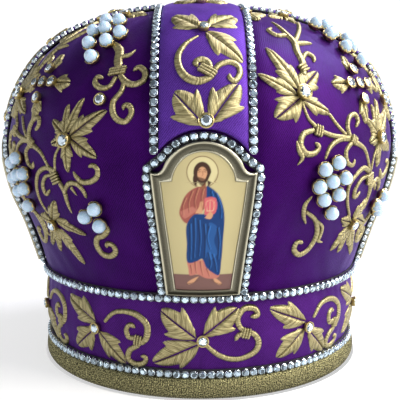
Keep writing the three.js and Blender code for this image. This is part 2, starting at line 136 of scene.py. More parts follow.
def make_piece(name, points, faces, materials, smooth=True, uv=None, choice=None, colours=None):
    """A mesh object from points in millimetres; uv and colours are given for each point."""
    mesh = bpy.data.meshes.new(name)
    points = np.asarray(points).reshape(-1, 3)
    mesh.from_pydata((points / 1000).tolist(), [], [list(face) for face in faces])
    for material in materials:
        mesh.materials.append(material)
    mesh.polygons.foreach_set("use_smooth", [smooth] * len(mesh.polygons))
    if choice is not None:
        mesh.polygons.foreach_set("material_index", np.asarray(choice, int))
    corners = np.empty(len(mesh.loops), int)
    mesh.loops.foreach_get("vertex_index", corners)
    if uv is not None:
        layer = mesh.uv_layers.new(name="cloth")
        layer.data.foreach_set("uv", np.asarray(uv).reshape(-1, 2)[corners].ravel())
    if colours is not None:
        layer = mesh.color_attributes.new("paint", "FLOAT_COLOR", "POINT")
        layer.data.foreach_set("color", np.asarray(colours).reshape(-1, 4).ravel())
    mesh.update()
    piece = bpy.data.objects.new(name, mesh)
    bpy.context.collection.objects.link(piece)
    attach(piece, "root")
    return piece


def colour(hex_code):
    """An sRGB hex value as linear RGBA."""
    shares = [int(hex_code[i:i + 2], 16) / 255 for i in (1, 3, 5)]
    return [s / 12.92 if s <= .04045 else ((s + .055) / 1.055)**2.4 for s in shares] + [1]


def new_finish(name, **settings):
    """A material, its node tree and its shader, with settings for the shader's sockets."""
    material = bpy.data.materials.new(name)
    material.use_nodes = True
    shader = material.node_tree.nodes["Principled BSDF"]
    for socket, value in settings.items():
        shader.inputs[socket.replace("_", " ")].default_value = value
    return material, material.node_tree, shader


def add_node(tree, kind, inputs=None, **settings):
    """One node with its settings, and a value or a link for each input that is given."""
    made = tree.nodes.new(kind)
    for name, value in settings.items():
        setattr(made, name, value)
    for name, value in (inputs or {}).items():
        if isinstance(value, bpy.types.NodeSocket):
            tree.links.new(value, made.inputs[name])
        else:
            made.inputs[name].default_value = value
    return made


# a wave texture of this scale has one wave to each unit
WAVE_SCALE = .314


def uneven(tree, shader, pattern, tones=None, span=(0, 1), relief=None, raised_by=None):
    """Shades a finish between two tones by a pattern; relief raises it, as (strength, metres)."""
    if tones:
        ramp = add_node(tree, "ShaderNodeValToRGB", {"Fac": pattern})
        for element, position, tone in zip(ramp.color_ramp.elements, span, tones):
            element.position = position
            element.color = colour(tone)
        tree.links.new(ramp.outputs["Color"], shader.inputs["Base Color"])
    if relief:
        strength, distance = relief
        bump = add_node(tree, "ShaderNodeBump", {
            "Height": raised_by or pattern, "Strength": strength, "Distance": distance})
        tree.links.new(bump.outputs["Normal"], shader.inputs["Normal"])


def satin(name, deep, bright, sheen):
    """Polyester satin with a fine diagonal weave: a soft gloss that runs across the folds."""
    material, tree, shader = new_finish(
        name, Metallic=.32, Roughness=.44, IOR=1.45, Specular_IOR_Level=.1,
        Specular_Tint=colour("#9558e0"), Sheen_Weight=sheen, Sheen_Roughness=.36,
        Sheen_Tint=colour("#9b74e8"))
    place = add_node(tree, "ShaderNodeUVMap", uv_map="cloth").outputs["UV"]
    # real threads lie 0.2 mm apart; they are drawn 0.9 mm apart so that the weave shows
    slanted = add_node(tree, "ShaderNodeMapping", {"Vector": place, "Rotation": (0, 0, math.radians(38))})
    twill = add_node(tree, "ShaderNodeTexWave", {
        "Vector": slanted.outputs["Vector"], "Scale": WAVE_SCALE / .9,
        "Distortion": 3.5, "Detail": 3, "Detail Scale": 2})
    # the pile of fine ends shows as a grain of 1 mm, and wear as clouds of 20 mm
    grain = add_node(tree, "ShaderNodeTexNoise", {
        "Vector": place, "Scale": 1.1, "Detail": 4, "Roughness": .7})
    cloud = add_node(tree, "ShaderNodeTexNoise", {"Vector": place, "Scale": .05, "Detail": 3})
    weave = add_node(tree, "ShaderNodeMath", {0: twill.outputs["Fac"], 1: .28}, operation="MULTIPLY")
    woven = add_node(tree, "ShaderNodeMath", {
        0: grain.outputs["Fac"], 1: .56, 2: weave.outputs[0]}, operation="MULTIPLY_ADD")
    shade = add_node(tree, "ShaderNodeMath", {
        0: cloud.outputs["Fac"], 1: .45, 2: woven.outputs[0]}, operation="MULTIPLY_ADD")
    uneven(tree, shader, shade.outputs[0], (deep, bright), (.4, .8), (.4, .0004), woven.outputs[0])
    return material


# the strips and the band are the same satin in lighter copies: the difference is painted light, where
# they catch more of it than the panels
strip_satin_lit = satin("purple_strip_satin", "#301857", "#55328b", .12)
crown_satin = satin("purple_satin", "#1d0430", "#350a53", .14)
band_satin_lit = satin("purple_band_satin", "#270c3e", "#471d68", .12)
# dull cotton with a weave too fine to make out, so the inside looks flat and dark
lining, tree, shader = new_finish("lining_cotton", Roughness=.85, Base_Color=colour("#2c1440"))
weave = add_node(tree, "ShaderNodeTexNoise", {"Scale": 900, "Detail": 2})
uneven(tree, shader, weave.outputs["Fac"], relief=(.3, .0003))

STRIP_WIDTH = 42.4
SEAM_DIP, SEAM_SPREAD = 1.4, 5
PUCKER = .26
# the satin lies this far inside the crown's outline, under the embroidery's stitches
SATIN_DEPTH = .3
PANEL_COLUMNS, PANEL_ROWS = 72, 96


def closed_shell(name, outer, inner, uv, materials):
    """A sheet of cloth with its lining: two matching grids, joined round their edges."""
    rows, columns = outer.shape[:2]
    count = rows * columns
    front = grid_faces(rows, columns)
    back = grid_faces(rows, columns, count)[:, ::-1]
    rim = [r * columns for r in range(rows - 1, 0, -1)]
    edge = [*range(columns), *(r * columns + columns - 1 for r in range(1, rows)),
            *(count - 1 - c for c in range(1, columns)), *rim]
    walls = [(a, a + count, b + count, b) for a, b in zip(edge, edge[1:] + edge[:1])]
    choice = [0] * len(front) + [1] * len(back) + [0] * len(walls)
    points = np.concatenate([outer.reshape(-1, 3), inner.reshape(-1, 3)])
    uvs = np.concatenate([uv.reshape(-1, 2)] * 2)
    return make_piece(name, points, [*front, *back, *walls], materials, uv=uvs, choice=choice)


turn = np.linspace(0, QUARTER, PANEL_COLUMNS)[None, :]
panel_along = np.linspace(.2, CROWN_LENGTH - .1, PANEL_ROWS)[:, None]
panel_radius = on_outline(panel_along)[0]
from_seam = np.minimum(turn, QUARTER - turn) * panel_radius
seam_shadow = SEAM_DIP * np.exp(-((from_seam - STRIP_WIDTH / 2 - 2) / SEAM_SPREAD)**2)
pucker = PUCKER * np.sin(panel_along / 5.3 + 3 * np.sin(9 * turn)) * np.sin(turn * 23 + panel_along / 17)
panel_lift = pucker - seam_shadow - SATIN_DEPTH
for i, name in enumerate(PANELS):
    outer = turned(round_crown(turn, panel_along, panel_lift), i * QUARTER)
    inner = turned(round_crown(turn, panel_along + 0 * turn, -CLOTH + 0 * turn), i * QUARTER)
    uv = np.stack([(turn - QUARTER / 2) * panel_radius, panel_along + 0 * turn], -1)
    piece = closed_shell(f"satin_{name}", outer, inner, uv, [crown_satin, lining])
    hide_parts(f"crown_panel_{name}")


# Band
# An upright ring of the same satin over buckram, sewn to the foot of the crown, in a lighter copy
# that holds painted light. It is drawn in where the two rings of stones are sewn round it.

BAND_RADIUS = 97
BAND_DIP = 2.2
BAND_FOOT = 2.3
BAND_TOP = 54.5
BAND_ROWS, BAND_COLUMNS = 22, 400
# height as a share of the band's, and how much of the dip is drawn in there
BAND_SECTIONS = ((0, 1), (.24, 1), (.45, .15), (.72, 0), (1, .9))


def band_radius(z):
    """The band's outside radius at a height, as a smooth line through its sections."""
    sections = [(BAND_FOOT + share * (BAND_TOP - BAND_FOOT), BAND_RADIUS - dip * BAND_DIP)
                for share, dip in BAND_SECTIONS]
    line = smooth_line(sections, 20)
    return np.interp(z, line[:, 0], line[:, 1])


def round_turn(columns):
    """Angles all round, as one row."""
    return np.linspace(0, 2 * math.pi, columns, endpoint=False)[None, :]


def ring_piece(name, radii, heights, columns, material, swell):
    """A closed ring turned about the axis from a closed outline, with swell added to its radius."""
    angles = round_turn(columns)
    radius = radii[:, None] + swell
    height = heights[:, None] + 0 * angles
    points = np.stack([radius * np.sin(angles), -radius * np.cos(angles), height], -1)
    outline_run = np.concatenate([[0], np.cumsum(np.hypot(np.diff(radii), np.diff(heights)))])[:, None]
    uv = np.stack([angles * BAND_RADIUS + 0 * outline_run, outline_run + 0 * angles], -1)
    faces = grid_faces(len(radii) + 1, columns, closed=True) % (len(radii) * columns)
    return make_piece(name, points, faces, [material], uv=uv)


band_heights = np.linspace(BAND_FOOT, BAND_TOP, BAND_ROWS)
band_outer = band_radius(band_heights)
heights = np.concatenate([band_heights, band_heights[::-1]])
radii = np.concatenate([band_outer, band_outer[::-1] - CLOTH])
# the rings of stones pull the satin into soft folds that fade towards the middle of the band;
# each row gives a height and how far the folds reach from it
FOLD_LINES = ((50, 9), (19, 7))
FOLD_DEPTH = .22
fold_turn = round_turn(BAND_COLUMNS)
fold_fade = sum(np.exp(-((heights - line) / reach)**2) for line, reach in FOLD_LINES)[:, None]
wide_folds = np.sin(31 * fold_turn + 2.3 * np.sin(5 * fold_turn))
narrow_folds = .7 * np.sin(53 * fold_turn + 3 * np.sin(7 * fold_turn))
folds = FOLD_DEPTH * fold_fade * (wide_folds + narrow_folds)
piece = ring_piece("satin_band", radii, heights, BAND_COLUMNS, band_satin_lit, folds)
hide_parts("band")


# Hem braid
# Ribbed braid of gold metal thread, folded round the bottom edge and sewn through. Its upright
# ribs are the braid's weft cords, with a knot of thread at every crossing.

# radius and height, up the outside, over the top and down the inside
BRAID_SECTION = (
    (96.5, 0), (97.6, .9), (98.3, 3), (98.4, 5.6), (98.1, 8), (97.4, 10.2), (96.6, 11.2), (95.2, 11.2),
    (95.1, 9), (95.1, 2.3), (93.6, 2), (91.9, 2.3), (91.9, 6.8), (91.2, 7), (90, 6.6), (89.9, 3),
    (90, .5), (90.6, 0),
)
RIB_PITCH = 1.25
KNOT_TURNS = 4.6
OUTSIDE_FROM = 95.5
braid_line = smooth_line([*BRAID_SECTION, BRAID_SECTION[0]], 2)[:-1]
rib_count = round(2 * math.pi * BAND_RADIUS / RIB_PITCH)
columns = 4 * rib_count
rib = np.array([0, .5, 1, .5] * rib_count)[None, :]
outside = np.clip((braid_line[:, 0] - OUTSIDE_FROM) / 1.5, 0, 1)[:, None]
# the knots of every second rib lie half a step higher
ways = np.repeat([1, -1] * (rib_count // 2 + 1), 4)[None, :columns]
knots = .5 + .5 * np.sin(braid_line[:, 1] * KNOT_TURNS)[:, None] * ways
swell = outside * (rib * (.3 + .25 * knots) - .35)
gold_braid, tree, shader = new_finish("gold_metal_braid", Metallic=.85, Roughness=.34)
place = add_node(tree, "ShaderNodeUVMap", uv_map="cloth").outputs["UV"]
# painted glints: the flat metal strip round each thread turns every 0.5 mm, and its small sparkles
# are painted into the colour; the same pattern raises the relief
painted_sparkle = add_node(tree, "ShaderNodeTexNoise", {
    "Vector": place, "Scale": 1.5, "Detail": 2, "Roughness": .7})
uneven(tree, shader, painted_sparkle.outputs["Fac"], ("#221f0f", "#a39d70"), (.43, .62), (.8, .0006))
piece = ring_piece("ribbed_hem_braid", *braid_line.T, columns, gold_braid, swell)
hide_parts("hem_braid")


# Cross strips
# Padded strips of satin that end above the icons: one runs over the top from front to back, and
# one up each side to meet it. They are filled with wadding and sewn down tight at both edges, so
# they stand proud with a rounded section.

STRIP_LIFT = .48
STRIP_THICKNESS = 3.4
STRIP_EDGE = 1.0
STRIP_QUILT = .12
STRIP_COLUMNS = 36
ARCH_CENTRE = 63.8
# the strips end in a round cut, just outside the chain over each icon's arch
ARCH_REACH = 27.2
CROSSING = 25.6


def strip_lift(share):
    """How high the padded strip stands at a share of its half width."""
    return STRIP_LIFT + STRIP_EDGE + (STRIP_THICKNESS - STRIP_EDGE) * (1 - np.abs(share)**3.2)**.55


def strip_grid(rows, last, top):
    """The top or the underside of a strip up to last, or over the crown, and its places on the cloth."""
    half = STRIP_COLUMNS // 2
    share = np.concatenate([-np.cos(np.linspace(0, QUARTER, half, endpoint=False)),
                            np.sin(np.linspace(0, QUARTER, half))])[None, :]
    across = share * STRIP_WIDTH / 2
    foot = ARCH_CENTRE + np.sqrt(ARCH_REACH**2 - across**2)
    end = LINE_LENGTH - foot if last is None else last + 0 * foot
    along = foot + (end - foot) * np.linspace(0, 1, rows)[:, None]
    quilting = STRIP_QUILT * np.sin(along / 4.1) * np.sin(across / 3.3 + along / 9)
    lift = strip_lift(share) + quilting if top else STRIP_LIFT
    return over_crown(across, along, lift), np.stack([across + 0 * along, along], -1)


MEETING = CROWN_LENGTH - CROSSING
# each strip's name, the end of its run, its rows of places and its turn
STRIPS = (("front_to_back", None, 150, 0), ("right", MEETING, 70, QUARTER),
          ("left", MEETING, 70, -QUARTER))
for name, last, rows, angle in STRIPS:
    outer, uv = strip_grid(rows, last, True)
    inner, _ = strip_grid(rows, last, False)
    piece = closed_shell(f"padded_strip_{name}", turned(outer, angle), turned(inner, angle), uv,
                         [strip_satin_lit, lining])
    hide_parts(f"cross_strip_{name}")


# Icon frames
# Cast bronze-coloured mouldings with a raised rim and a hollow slope inwards, bent to the crown
# and sewn on over the ends of the strips. The rims carry a painted highlight, the hollow painted shade.

ICON_FOOT = 4.1
ICON_SHOULDER = 71
ICON_CROWN = 85.3
# half widths at the foot and at the shoulder
ICON_HALF_WIDTHS = (18.3, 24.8)
ARCH_RADIUS = 21.5
FRAME_BORDER = 4.6
FRAME_FOOT_BORDER = 2.6
# the arch of the plate's opening is narrower by this than the border alone makes it
OPENING_ARCH_INSET = 2
OUTLINE_STEPS = 12
# the rounded shoulder, inwards and up from its corner, and how far the arch stands over it
SHOULDER_LEDGE = ((0, 0), (1.7, -.3), (3.4, -.1), (4.9, .8), (6, 2.2), (6.7, 3.8))
ARCH_OVER_LEDGE = 9


def icon_outline(foot, shoulder, crown, halves, arch_radius, notch_rise=None):
    """An icon's outline, from the foot's middle by the right to the top and down the left.

    The shoulder is the rounded ledge, or a straight notch that rises by notch_rise."""
    corner = [(halves[0] * s, foot) for s in np.linspace(0, 1, OUTLINE_STEPS, endpoint=False)]
    side = [(halves[0] + (halves[1] - halves[0]) * s, foot + (shoulder - foot) * s)
            for s in np.linspace(0, 1, 3 * OUTLINE_STEPS, endpoint=False)]
    if notch_rise is None:
        start = math.asin((arch_radius - ARCH_OVER_LEDGE) / arch_radius)
        ledge = [(halves[1] - inwards, shoulder + up) for inwards, up in SHOULDER_LEDGE]
    else:
        start = math.asin(max(shoulder + notch_rise - crown + arch_radius, 0) / arch_radius)
        inwards = halves[1] - arch_radius * math.cos(start)
        ledge = [(halves[1] - inwards * s, shoulder + notch_rise * s) for s in np.linspace(0, .85, 6)]
    arch = [(arch_radius * math.cos(a), crown - arch_radius + arch_radius * math.sin(a))
            for a in np.linspace(start, QUARTER, 2 * OUTLINE_STEPS)]
    half = np.array(corner + side + ledge + arch)
    return np.vstack([half, half[-2:0:-1] * (-1, 1)])


# share of the way in across the moulding, and height over the crown
FRAME_SECTION = (
    (0, .6), (0, 3.7), (.03, 4.5), (.09, 4.85), (.16, 4.9), (.22, 4.7), (.27, 4.25), (.36, 3.75),
    (.5, 3.35), (.66, 3.1), (.82, 3.05), (.88, 3.35), (.94, 3.45), (1, 3.3), (1, 1.2),
)
# painted highlight and shade for each line of the section, from 0 to 1: light on the rims, dark in the
# hollow
PAINTED_RIM_LIGHT = (.1, .3, .75, 1, .9, .6, .2, .1, .12, .2, .3, .8, .9, .5, 0)
frame_outer = icon_outline(ICON_FOOT, ICON_SHOULDER, ICON_CROWN, ICON_HALF_WIDTHS, ARCH_RADIUS)
inner_halves = tuple(h - FRAME_BORDER for h in ICON_HALF_WIDTHS)
opening_foot, opening_shoulder = ICON_FOOT + FRAME_FOOT_BORDER, ICON_SHOULDER - FRAME_BORDER
opening_arch = ARCH_RADIUS - FRAME_BORDER - OPENING_ARCH_INSET
frame_inner = icon_outline(
    opening_foot, opening_shoulder, ICON_CROWN - FRAME_BORDER, inner_halves, opening_arch, notch_rise=.6)

bronze, tree, shader = new_finish("antique_bronze", Metallic=1, Roughness=.28)
light = add_node(tree, "ShaderNodeAttribute", attribute_name="paint").outputs["Fac"]
# fine specks of tarnish dull the metal, over the painted highlight on the rims and painted shade in the
# hollow
tarnish = add_node(tree, "ShaderNodeTexNoise", {"Scale": 260, "Detail": 4})
amount = add_node(tree, "ShaderNodeMath", {0: tarnish.outputs["Fac"], 1: .35, 2: light},
                  operation="MULTIPLY_ADD")
uneven(tree, shader, amount.outputs[0], ("#1f1d15", "#b2ae97"), (.2, 1), (.25, .0003),
       tarnish.outputs["Fac"])

section = np.array(FRAME_SECTION)
places = frame_outer[:, None] + (frame_inner - frame_outer)[:, None] * section[None, :, :1]
points = over_crown(places[..., 0], places[..., 1], section[None, :, 1])
faces = grid_faces(len(frame_outer) + 1, len(FRAME_SECTION), closed=True) % (points.size // 3)
# the painted highlight and shade, for every point of the moulding
shade = np.array([[light, light, light, 1] for light in PAINTED_RIM_LIGHT] * len(frame_outer))
for i, name in enumerate(SIDES):
    piece = make_piece(f"moulded_frame_{name}", turned(points, i * QUARTER), faces[:, ::-1], [bronze],
                       colours=shade)
    piece.data.set_sharp_from_angle(angle=math.radians(50))
    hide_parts(f"icon_frame_{name}")


# Icon plates
# Thin plates with a lacquered picture of a robed, standing figure on a pale gold ground. The
# paint is laid on in flat shapes, then folds and lights; the lacquer over it is glossy.

PLATE_FRONT, PLATE_BACK = 2.9, .8
PLATE_COLUMNS, SIDE_ROWS, ARCH_ROWS = 84, 122, 50
PLATE_PLAY = .1
plate_side = np.linspace(opening_foot + PLATE_PLAY, opening_shoulder - PLATE_PLAY, SIDE_ROWS)
plate_radius = opening_arch - PLATE_PLAY
plate_arch_centre = ICON_CROWN - ARCH_RADIUS + OPENING_ARCH_INSET
plate_arch = plate_arch_centre + plate_radius * np.sin(np.linspace(.06, QUARTER - .02, ARCH_ROWS))
plate_along = np.concatenate([plate_side, plate_arch])
plate_half = np.concatenate([
    np.linspace(inner_halves[0], inner_halves[1], SIDE_ROWS) - PLATE_PLAY,
    np.sqrt(plate_radius**2 - (plate_arch - plate_arch_centre)**2),
])
plate_x = np.linspace(-1, 1, PLATE_COLUMNS)[None, :] * plate_half[:, None]
plate_y = plate_along[:, None] + 0 * plate_x


def distance_to(line, closed):
    """Distance of each place on the plate from a line, and the line's share at the nearest point."""
    ends = zip(line, np.roll(line, -1, axis=0)) if closed else zip(line[:-1], line[1:])
    best = np.full(plate_x.shape, 1e9)
    where = np.zeros(plate_x.shape)
    for i, (a, b) in enumerate(ends):
        step = b - a
        t = ((plate_x - a[0]) * step[0] + (plate_y - a[1]) * step[1]) / max(step @ step, 1e-9)
        t = np.clip(t, 0, 1)
        away = np.hypot(plate_x - a[0] - t * step[0], plate_y - a[1] - t * step[1])
        where = np.where(away < best, (i + t) / len(line), where)
        best = np.minimum(best, away)
    return best, where


def filled(points, soft=.22):
    """How far each place on the plate lies inside a rounded shape, from 0 to 1."""
    ring = np.array(points, float)
    # two more places at each end close the line smoothly, and are cut off again
    line = smooth_line(np.vstack([ring[-2:], ring, ring[:2]]), 6)[12:-18]
    away, _ = distance_to(line, True)
    within = np.zeros(plate_x.shape, bool)
    for (x0, y0), (x1, y1) in zip(line, np.roll(line, -1, axis=0)):
        crosses = (y0 > plate_y) != (y1 > plate_y)
        within ^= crosses & (plate_x < x0 + (plate_y - y0) / (y1 - y0 if y1 != y0 else 1) * (x1 - x0))
    return np.clip(.5 + np.where(within, away, -away) / (2 * soft), 0, 1)


def stroke(points, width):
    """How far each place is covered by a brush stroke that thins out at its far end."""
    away, where = distance_to(smooth_line(points, 6), False)
    return np.clip(.5 + (width / 2 * (1 - .7 * where) - away) / .4, 0, 1)


def oval(x, y, wide, high):
    """Places round an oval about x and y."""
    return [(x + wide * math.cos(a), y + high * math.sin(a)) for a in round_turn(14)[0]]


# the figure, as layers of paint: what is covered, the paint's name, and how thickly it covers
halo = np.clip(.5 + (.22 - np.abs(np.hypot(plate_x + .6, plate_y - 71.4) - 7.2)) / .4, 0, 1)
layers = [
    (np.clip((16.2 - plate_y) / .4, 0, 1), "floor", 1),
    (np.clip((9.5 - plate_y) / 6, 0, 1), "floor_shade", .5),
    (filled(oval(-.6, 71.4, 7.1, 7.1)), "ground_light", .5),
    (halo, "outline", .8),
    (filled([(-2.2, 14.6), (-4.4, 13.8), (-7.8, 10.9), (-7, 10.2), (-4.6, 11.2), (-2, 12.6)]), "skin", 1),
    (filled([(4.6, 14.6), (6.6, 13.4), (9.2, 10.4), (8.2, 9.8), (5.8, 11.4), (4, 12.8)]), "skin", 1),
    (stroke([(-7.9, 10.4), (-4.8, 11.2), (-2, 12.6)], .45), "outline", .8),
    (stroke([(9.3, 9.9), (6, 11.2), (4, 12.8)], .45), "outline", .8),
    (filled([(-7.6, 24.5), (-7.2, 19.3), (-6.5, 15.4), (-2.8, 16.1), (1.6, 13.8), (7.4, 14.2), (8, 18.2),
             (4, 24.5), (-2, 27.6)]), "tunic_light", 1),
    (filled([(-7.9, 45.8), (-9.6, 47), (-11.4, 51), (-10.4, 55.8), (-8.2, 60.6), (-4.6, 63.7),
             (-1.4, 64.7), (2.2, 64.1), (2.6, 55.8), (1.4, 46.4)]), "tunic", 1),
    (filled([(-10.8, 52.2), (-9, 48.5), (-6, 50.3), (-3.2, 53.1), (-5.4, 54.7), (-8, 54.9)]),
     "tunic_light", .8),
    (filled([(1.3, 64.9), (4.6, 63.1), (7.6, 59.3), (9.4, 53.5), (9.9, 48.5), (9.5, 37), (8.9, 24.5),
             (7.6, 15.4), (4.4, 17.2), (1.6, 19.9), (-.6, 25.1), (-3.6, 23.4), (-7.4, 22.8), (-7.9, 33.9),
             (-7.9, 45.3), (-4.6, 50.5), (-2.6, 51), (1.2, 51.4), (1.4, 57.8)]), "mantle", 1),
    (filled([(2.6, 46.4), (6.2, 44.3), (5.2, 35.9), (6.6, 27.6), (3.2, 24.5), (1.6, 30.7), (2.4, 38)]),
     "mantle_light", .28),
]
for fold in ([(-6.6, 45.3), (-6.4, 34.9), (-6.6, 24.5)], [(-4.6, 48.5), (-4.4, 37), (-4.8, 25.5)],
             [(-2.4, 47.4), (-1.8, 37), (-2.4, 26.6)], [(.2, 45.3), (.8, 34.9), (.4, 25.5)],
             [(2.6, 44.3), (1.6, 38), (3, 30.7)], [(6.6, 43.2), (7.4, 34.9), (7, 24.5)],
             [(4.4, 27.6), (5.6, 22.4), (6.2, 17.2)], [(2.4, 28.6), (3.4, 22.4), (2.8, 19.3)],
             [(5.6, 61), (7.6, 54.7), (7.8, 48.5)], [(3.2, 62), (4.2, 57.8), (3.8, 51.6)]):
    layers.append((stroke(fold, .8), "mantle_shade", .8))
    layers.append((stroke([(x + .75, y + .2) for x, y in fold], .45), "mantle_light", .65))
for fold in ([(-5.4, 62.4), (-7.2, 56.8), (-6.8, 51.6)], [(-2.8, 63.7), (-4.4, 57.8), (-4, 53.7)],
             [(-.4, 63.7), (-1.2, 58.9), (.2, 51.6)], [(-6.2, 21.3), (-5.8, 18.8), (-5.6, 16.3)],
             [(-4, 23.4), (-3.8, 19.7), (-3.4, 16.8)], [(-1.4, 23.4), (-1, 19.3), (-.2, 15.6)],
             [(1.6, 19.3), (2.4, 17.2), (3, 14.8)], [(-8.6, 58.9), (-10, 54.7), (-9.8, 50.1)]):
    layers.append((stroke(fold, .7), "tunic_shade", .7))
    layers.append((stroke([(x + .65, y) for x, y in fold], .4), "skin", .6))
layers += [
    (filled([(-3.8, 51.2), (-2.2, 54.5), (-1.4, 57.2), (-.6, 57.2), (-.6, 53.7), (-.6, 51.4),
             (-2, 50.1)]), "skin", 1),
    (stroke([(-1, 57), (-1.3, 54.1)], .3), "skin_shade", .8),
    (filled([(.4, 50.6), (5.3, 51.2), (5.5, 58.9), (.3, 58.7), (.3, 54.1)], soft=.15), "book", 1),
    (stroke([(1.6, 52.5), (4.4, 52.7), (4.5, 57.5), (1.5, 57.3), (1.6, 52.7)], .4), "ground_light", .6),
    (stroke([(3, 52.7), (3, 57.3)], .4), "ground_light", .5),
    (filled([(.6, 49.1), (3.2, 48.3), (4.4, 50.6), (3, 52.3), (1, 51.4)]), "skin", 1),
    (filled([(-2, 63.7), (.6, 63.7), (.8, 67.2), (-2, 67.2)]), "skin_shade", 1),
    (filled(oval(-.7, 71.3, 4.1, 4.9)), "hair", 1),
    (filled([(-4.3, 70.4), (-4.9, 66.8), (-3.4, 64.7), (-2.6, 68.3), (1.2, 68.3), (2, 64.7), (3.5, 66.8),
             (2.9, 70.4)]), "hair", 1),
    (filled(oval(-.7, 70.6, 2.25, 3.3)), "skin", 1),
    (filled([(-3.2, 69.5), (-2.7, 66.8), (-.7, 64.9), (1.3, 66.8), (1.8, 69.5), (.7, 68.4), (-.7, 68.7),
             (-2.1, 68.4)]), "hair", .8),
    (stroke([(-2.4, 72.3), (-1.8, 72.7), (-1.1, 72.5)], .38), "hair", .9),
    (stroke([(1, 72.3), (.4, 72.7), (-.3, 72.5)], .38), "hair", .9),
    (stroke([(-2.2, 71.6), (-1.7, 71.8), (-1.1, 71.6)], .4), "outline", .9),
    (stroke([(.8, 71.6), (.3, 71.8), (-.3, 71.6)], .4), "outline", .9),
    (stroke([(-.6, 72), (-.4, 70.2), (-.8, 69.8)], .32), "skin_shade", .9),
    (stroke([(-1.3, 68.7), (-.7, 68.6), (-.1, 68.7)], .35), "tunic_shade", .8),
]

PAINTS = {
    "ground": "#b3a77a", "ground_light": "#cdc494", "floor": "#6b4e48", "floor_shade": "#4a342f",
    "outline": "#5a3b26", "skin": "#b98a66", "skin_shade": "#7d4f36", "hair": "#3a241a",
    "tunic": "#8a4a40", "tunic_shade": "#5c2b26", "tunic_light": "#ab6a5b", "mantle": "#0b3263",
    "mantle_shade": "#071b3c", "mantle_light": "#3472b8", "book": "#b8595c",
}
# the four icons show the same figure in robes of other colours
ROBES = {
    "front": {},
    "right": {"tunic": "#3f6a4a", "tunic_shade": "#274832", "tunic_light": "#8fb08a", "mantle": "#8a3b2e",
              "mantle_shade": "#5c2119", "mantle_light": "#c98466"},
    "back": {"tunic": "#7c6a3a", "tunic_shade": "#54461f", "tunic_light": "#c9b67c", "mantle": "#5b3b7c",
             "mantle_shade": "#3a2254", "mantle_light": "#9d7fc0"},
    "left": {"tunic": "#2f5a86", "tunic_shade": "#1b3a5c", "tunic_light": "#84a9cf", "mantle": "#7d5a34",
             "mantle_shade": "#523818", "mantle_light": "#c29a68"},
}

lacquer, tree, shader = new_finish(
    "lacquered_paint", Roughness=.4, IOR=1.5, Specular_IOR_Level=.12, Coat_Weight=.1, Coat_Roughness=.12)
paint = add_node(tree, "ShaderNodeAttribute", attribute_name="paint").outputs["Color"]
tree.links.new(paint, shader.inputs["Base Color"])
# the finest brush marks under the lacquer only soften its gloss
marks = add_node(tree, "ShaderNodeTexNoise", {"Scale": 1500, "Detail": 2})
uneven(tree, shader, marks.outputs["Fac"], relief=(.12, .0002))


def plate_shell(name, front, back, paint):
    """A painted plate: a fine front, its rim, and a plain back of one strip for each row."""
    rows, columns = front.shape[:2]
    count = rows * columns
    rim = [*range(columns), *(r * columns + columns - 1 for r in range(1, rows)),
           *(count - 1 - c for c in range(1, columns)), *(r * columns for r in range(rows - 2, 0, -1))]
    around = len(rim)
    behind = [count + i for i in range(around)]
    left = [behind[-r] if r else behind[0] for r in range(rows)]
    right = behind[columns - 1:columns - 1 + rows]
    walls = [(rim[i], behind[i], behind[(i + 1) % around], rim[(i + 1) % around]) for i in range(around)]
    strips = [[*behind[:columns], right[1], left[1]]]
    strips += [[left[r], right[r], right[r + 1], left[r + 1]] for r in range(1, rows - 2)]
    strips.append([left[-2], right[-2], *behind[columns + rows - 2:2 * columns + rows - 2]])
    faces = [*grid_faces(rows, columns), *walls, *(strip[::-1] for strip in strips)]
    points = np.concatenate([front.reshape(-1, 3), back.reshape(-1, 3)[rim]])
    colours = np.concatenate([paint.reshape(-1, 4), paint.reshape(-1, 4)[rim]])
    choice = [0] * (len(faces) - len(strips)) + [1] * len(strips)
    return make_piece(name, points, faces, [lacquer, bronze], choice=choice, colours=colours)


face_points = over_crown(plate_x, plate_y, PLATE_FRONT)
back_points = over_crown(plate_x, plate_y, PLATE_BACK)
# the ground is a little darker towards the plate's edges
edge_shade = np.clip(1 - .16 * (np.abs(plate_x) / 20)**2 - .1 * ((plate_y - 46) / 36)**2, 0, 1)[..., None]
for i, name in enumerate(SIDES):
    paints = {key: np.array(colour(code)[:3]) for key, code in {**PAINTS, **ROBES[name]}.items()}
    picture = paints["ground"] * edge_shade
    for cover, paint_name, strength in layers:
        picture = picture + (paints[paint_name] - picture) * (cover * strength)[..., None]
    rgba = np.concatenate([picture, np.ones(picture.shape[:2] + (1,))], -1)
    front, back = turned(face_points, i * QUARTER), turned(back_points, i * QUARTER)
    piece = plate_shell(f"painted_plate_{name}", front, back, rgba)
    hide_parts(f"icon_plate_{name}")


# Chains of stones
# Clear cut stones in silver cups with four claws, soldered edge to edge into chains over a nearly
# black strip. The chains are sewn over the seams of the strips, the band and round the icons.

STONE_PITCH = 4.5
CHAIN_LIFT = .3
# the nearly black strip's section, across the chain and outwards
UNDER_STRIP_CORNERS = ((-2.3, .05), (2.3, .05), (2.3, .55), (-2.3, .55))


def facet_rings(rings, sides):
    """Facets between rings of (radius, height, turn in half steps), closed by a flat table."""
    points, facets = [], []
    corners = [[(r * math.cos(a), r * math.sin(a), z) for a in round_turn(sides)[0] + t * math.pi / sides]
               for r, z, t in rings]
    for low, high in zip(corners[:-1], corners[1:]):
        for k in range(sides):
            after = (k + 1) % sides
            facets += [(low[k], low[after], high[k]), (low[after], high[after], high[k])]
    facets.append(tuple(corners[-1]))
    faces = []
    for facet in facets:
        faces.append(list(range(len(points), len(points) + len(facet))))
        points += facet
    return np.array(points), faces


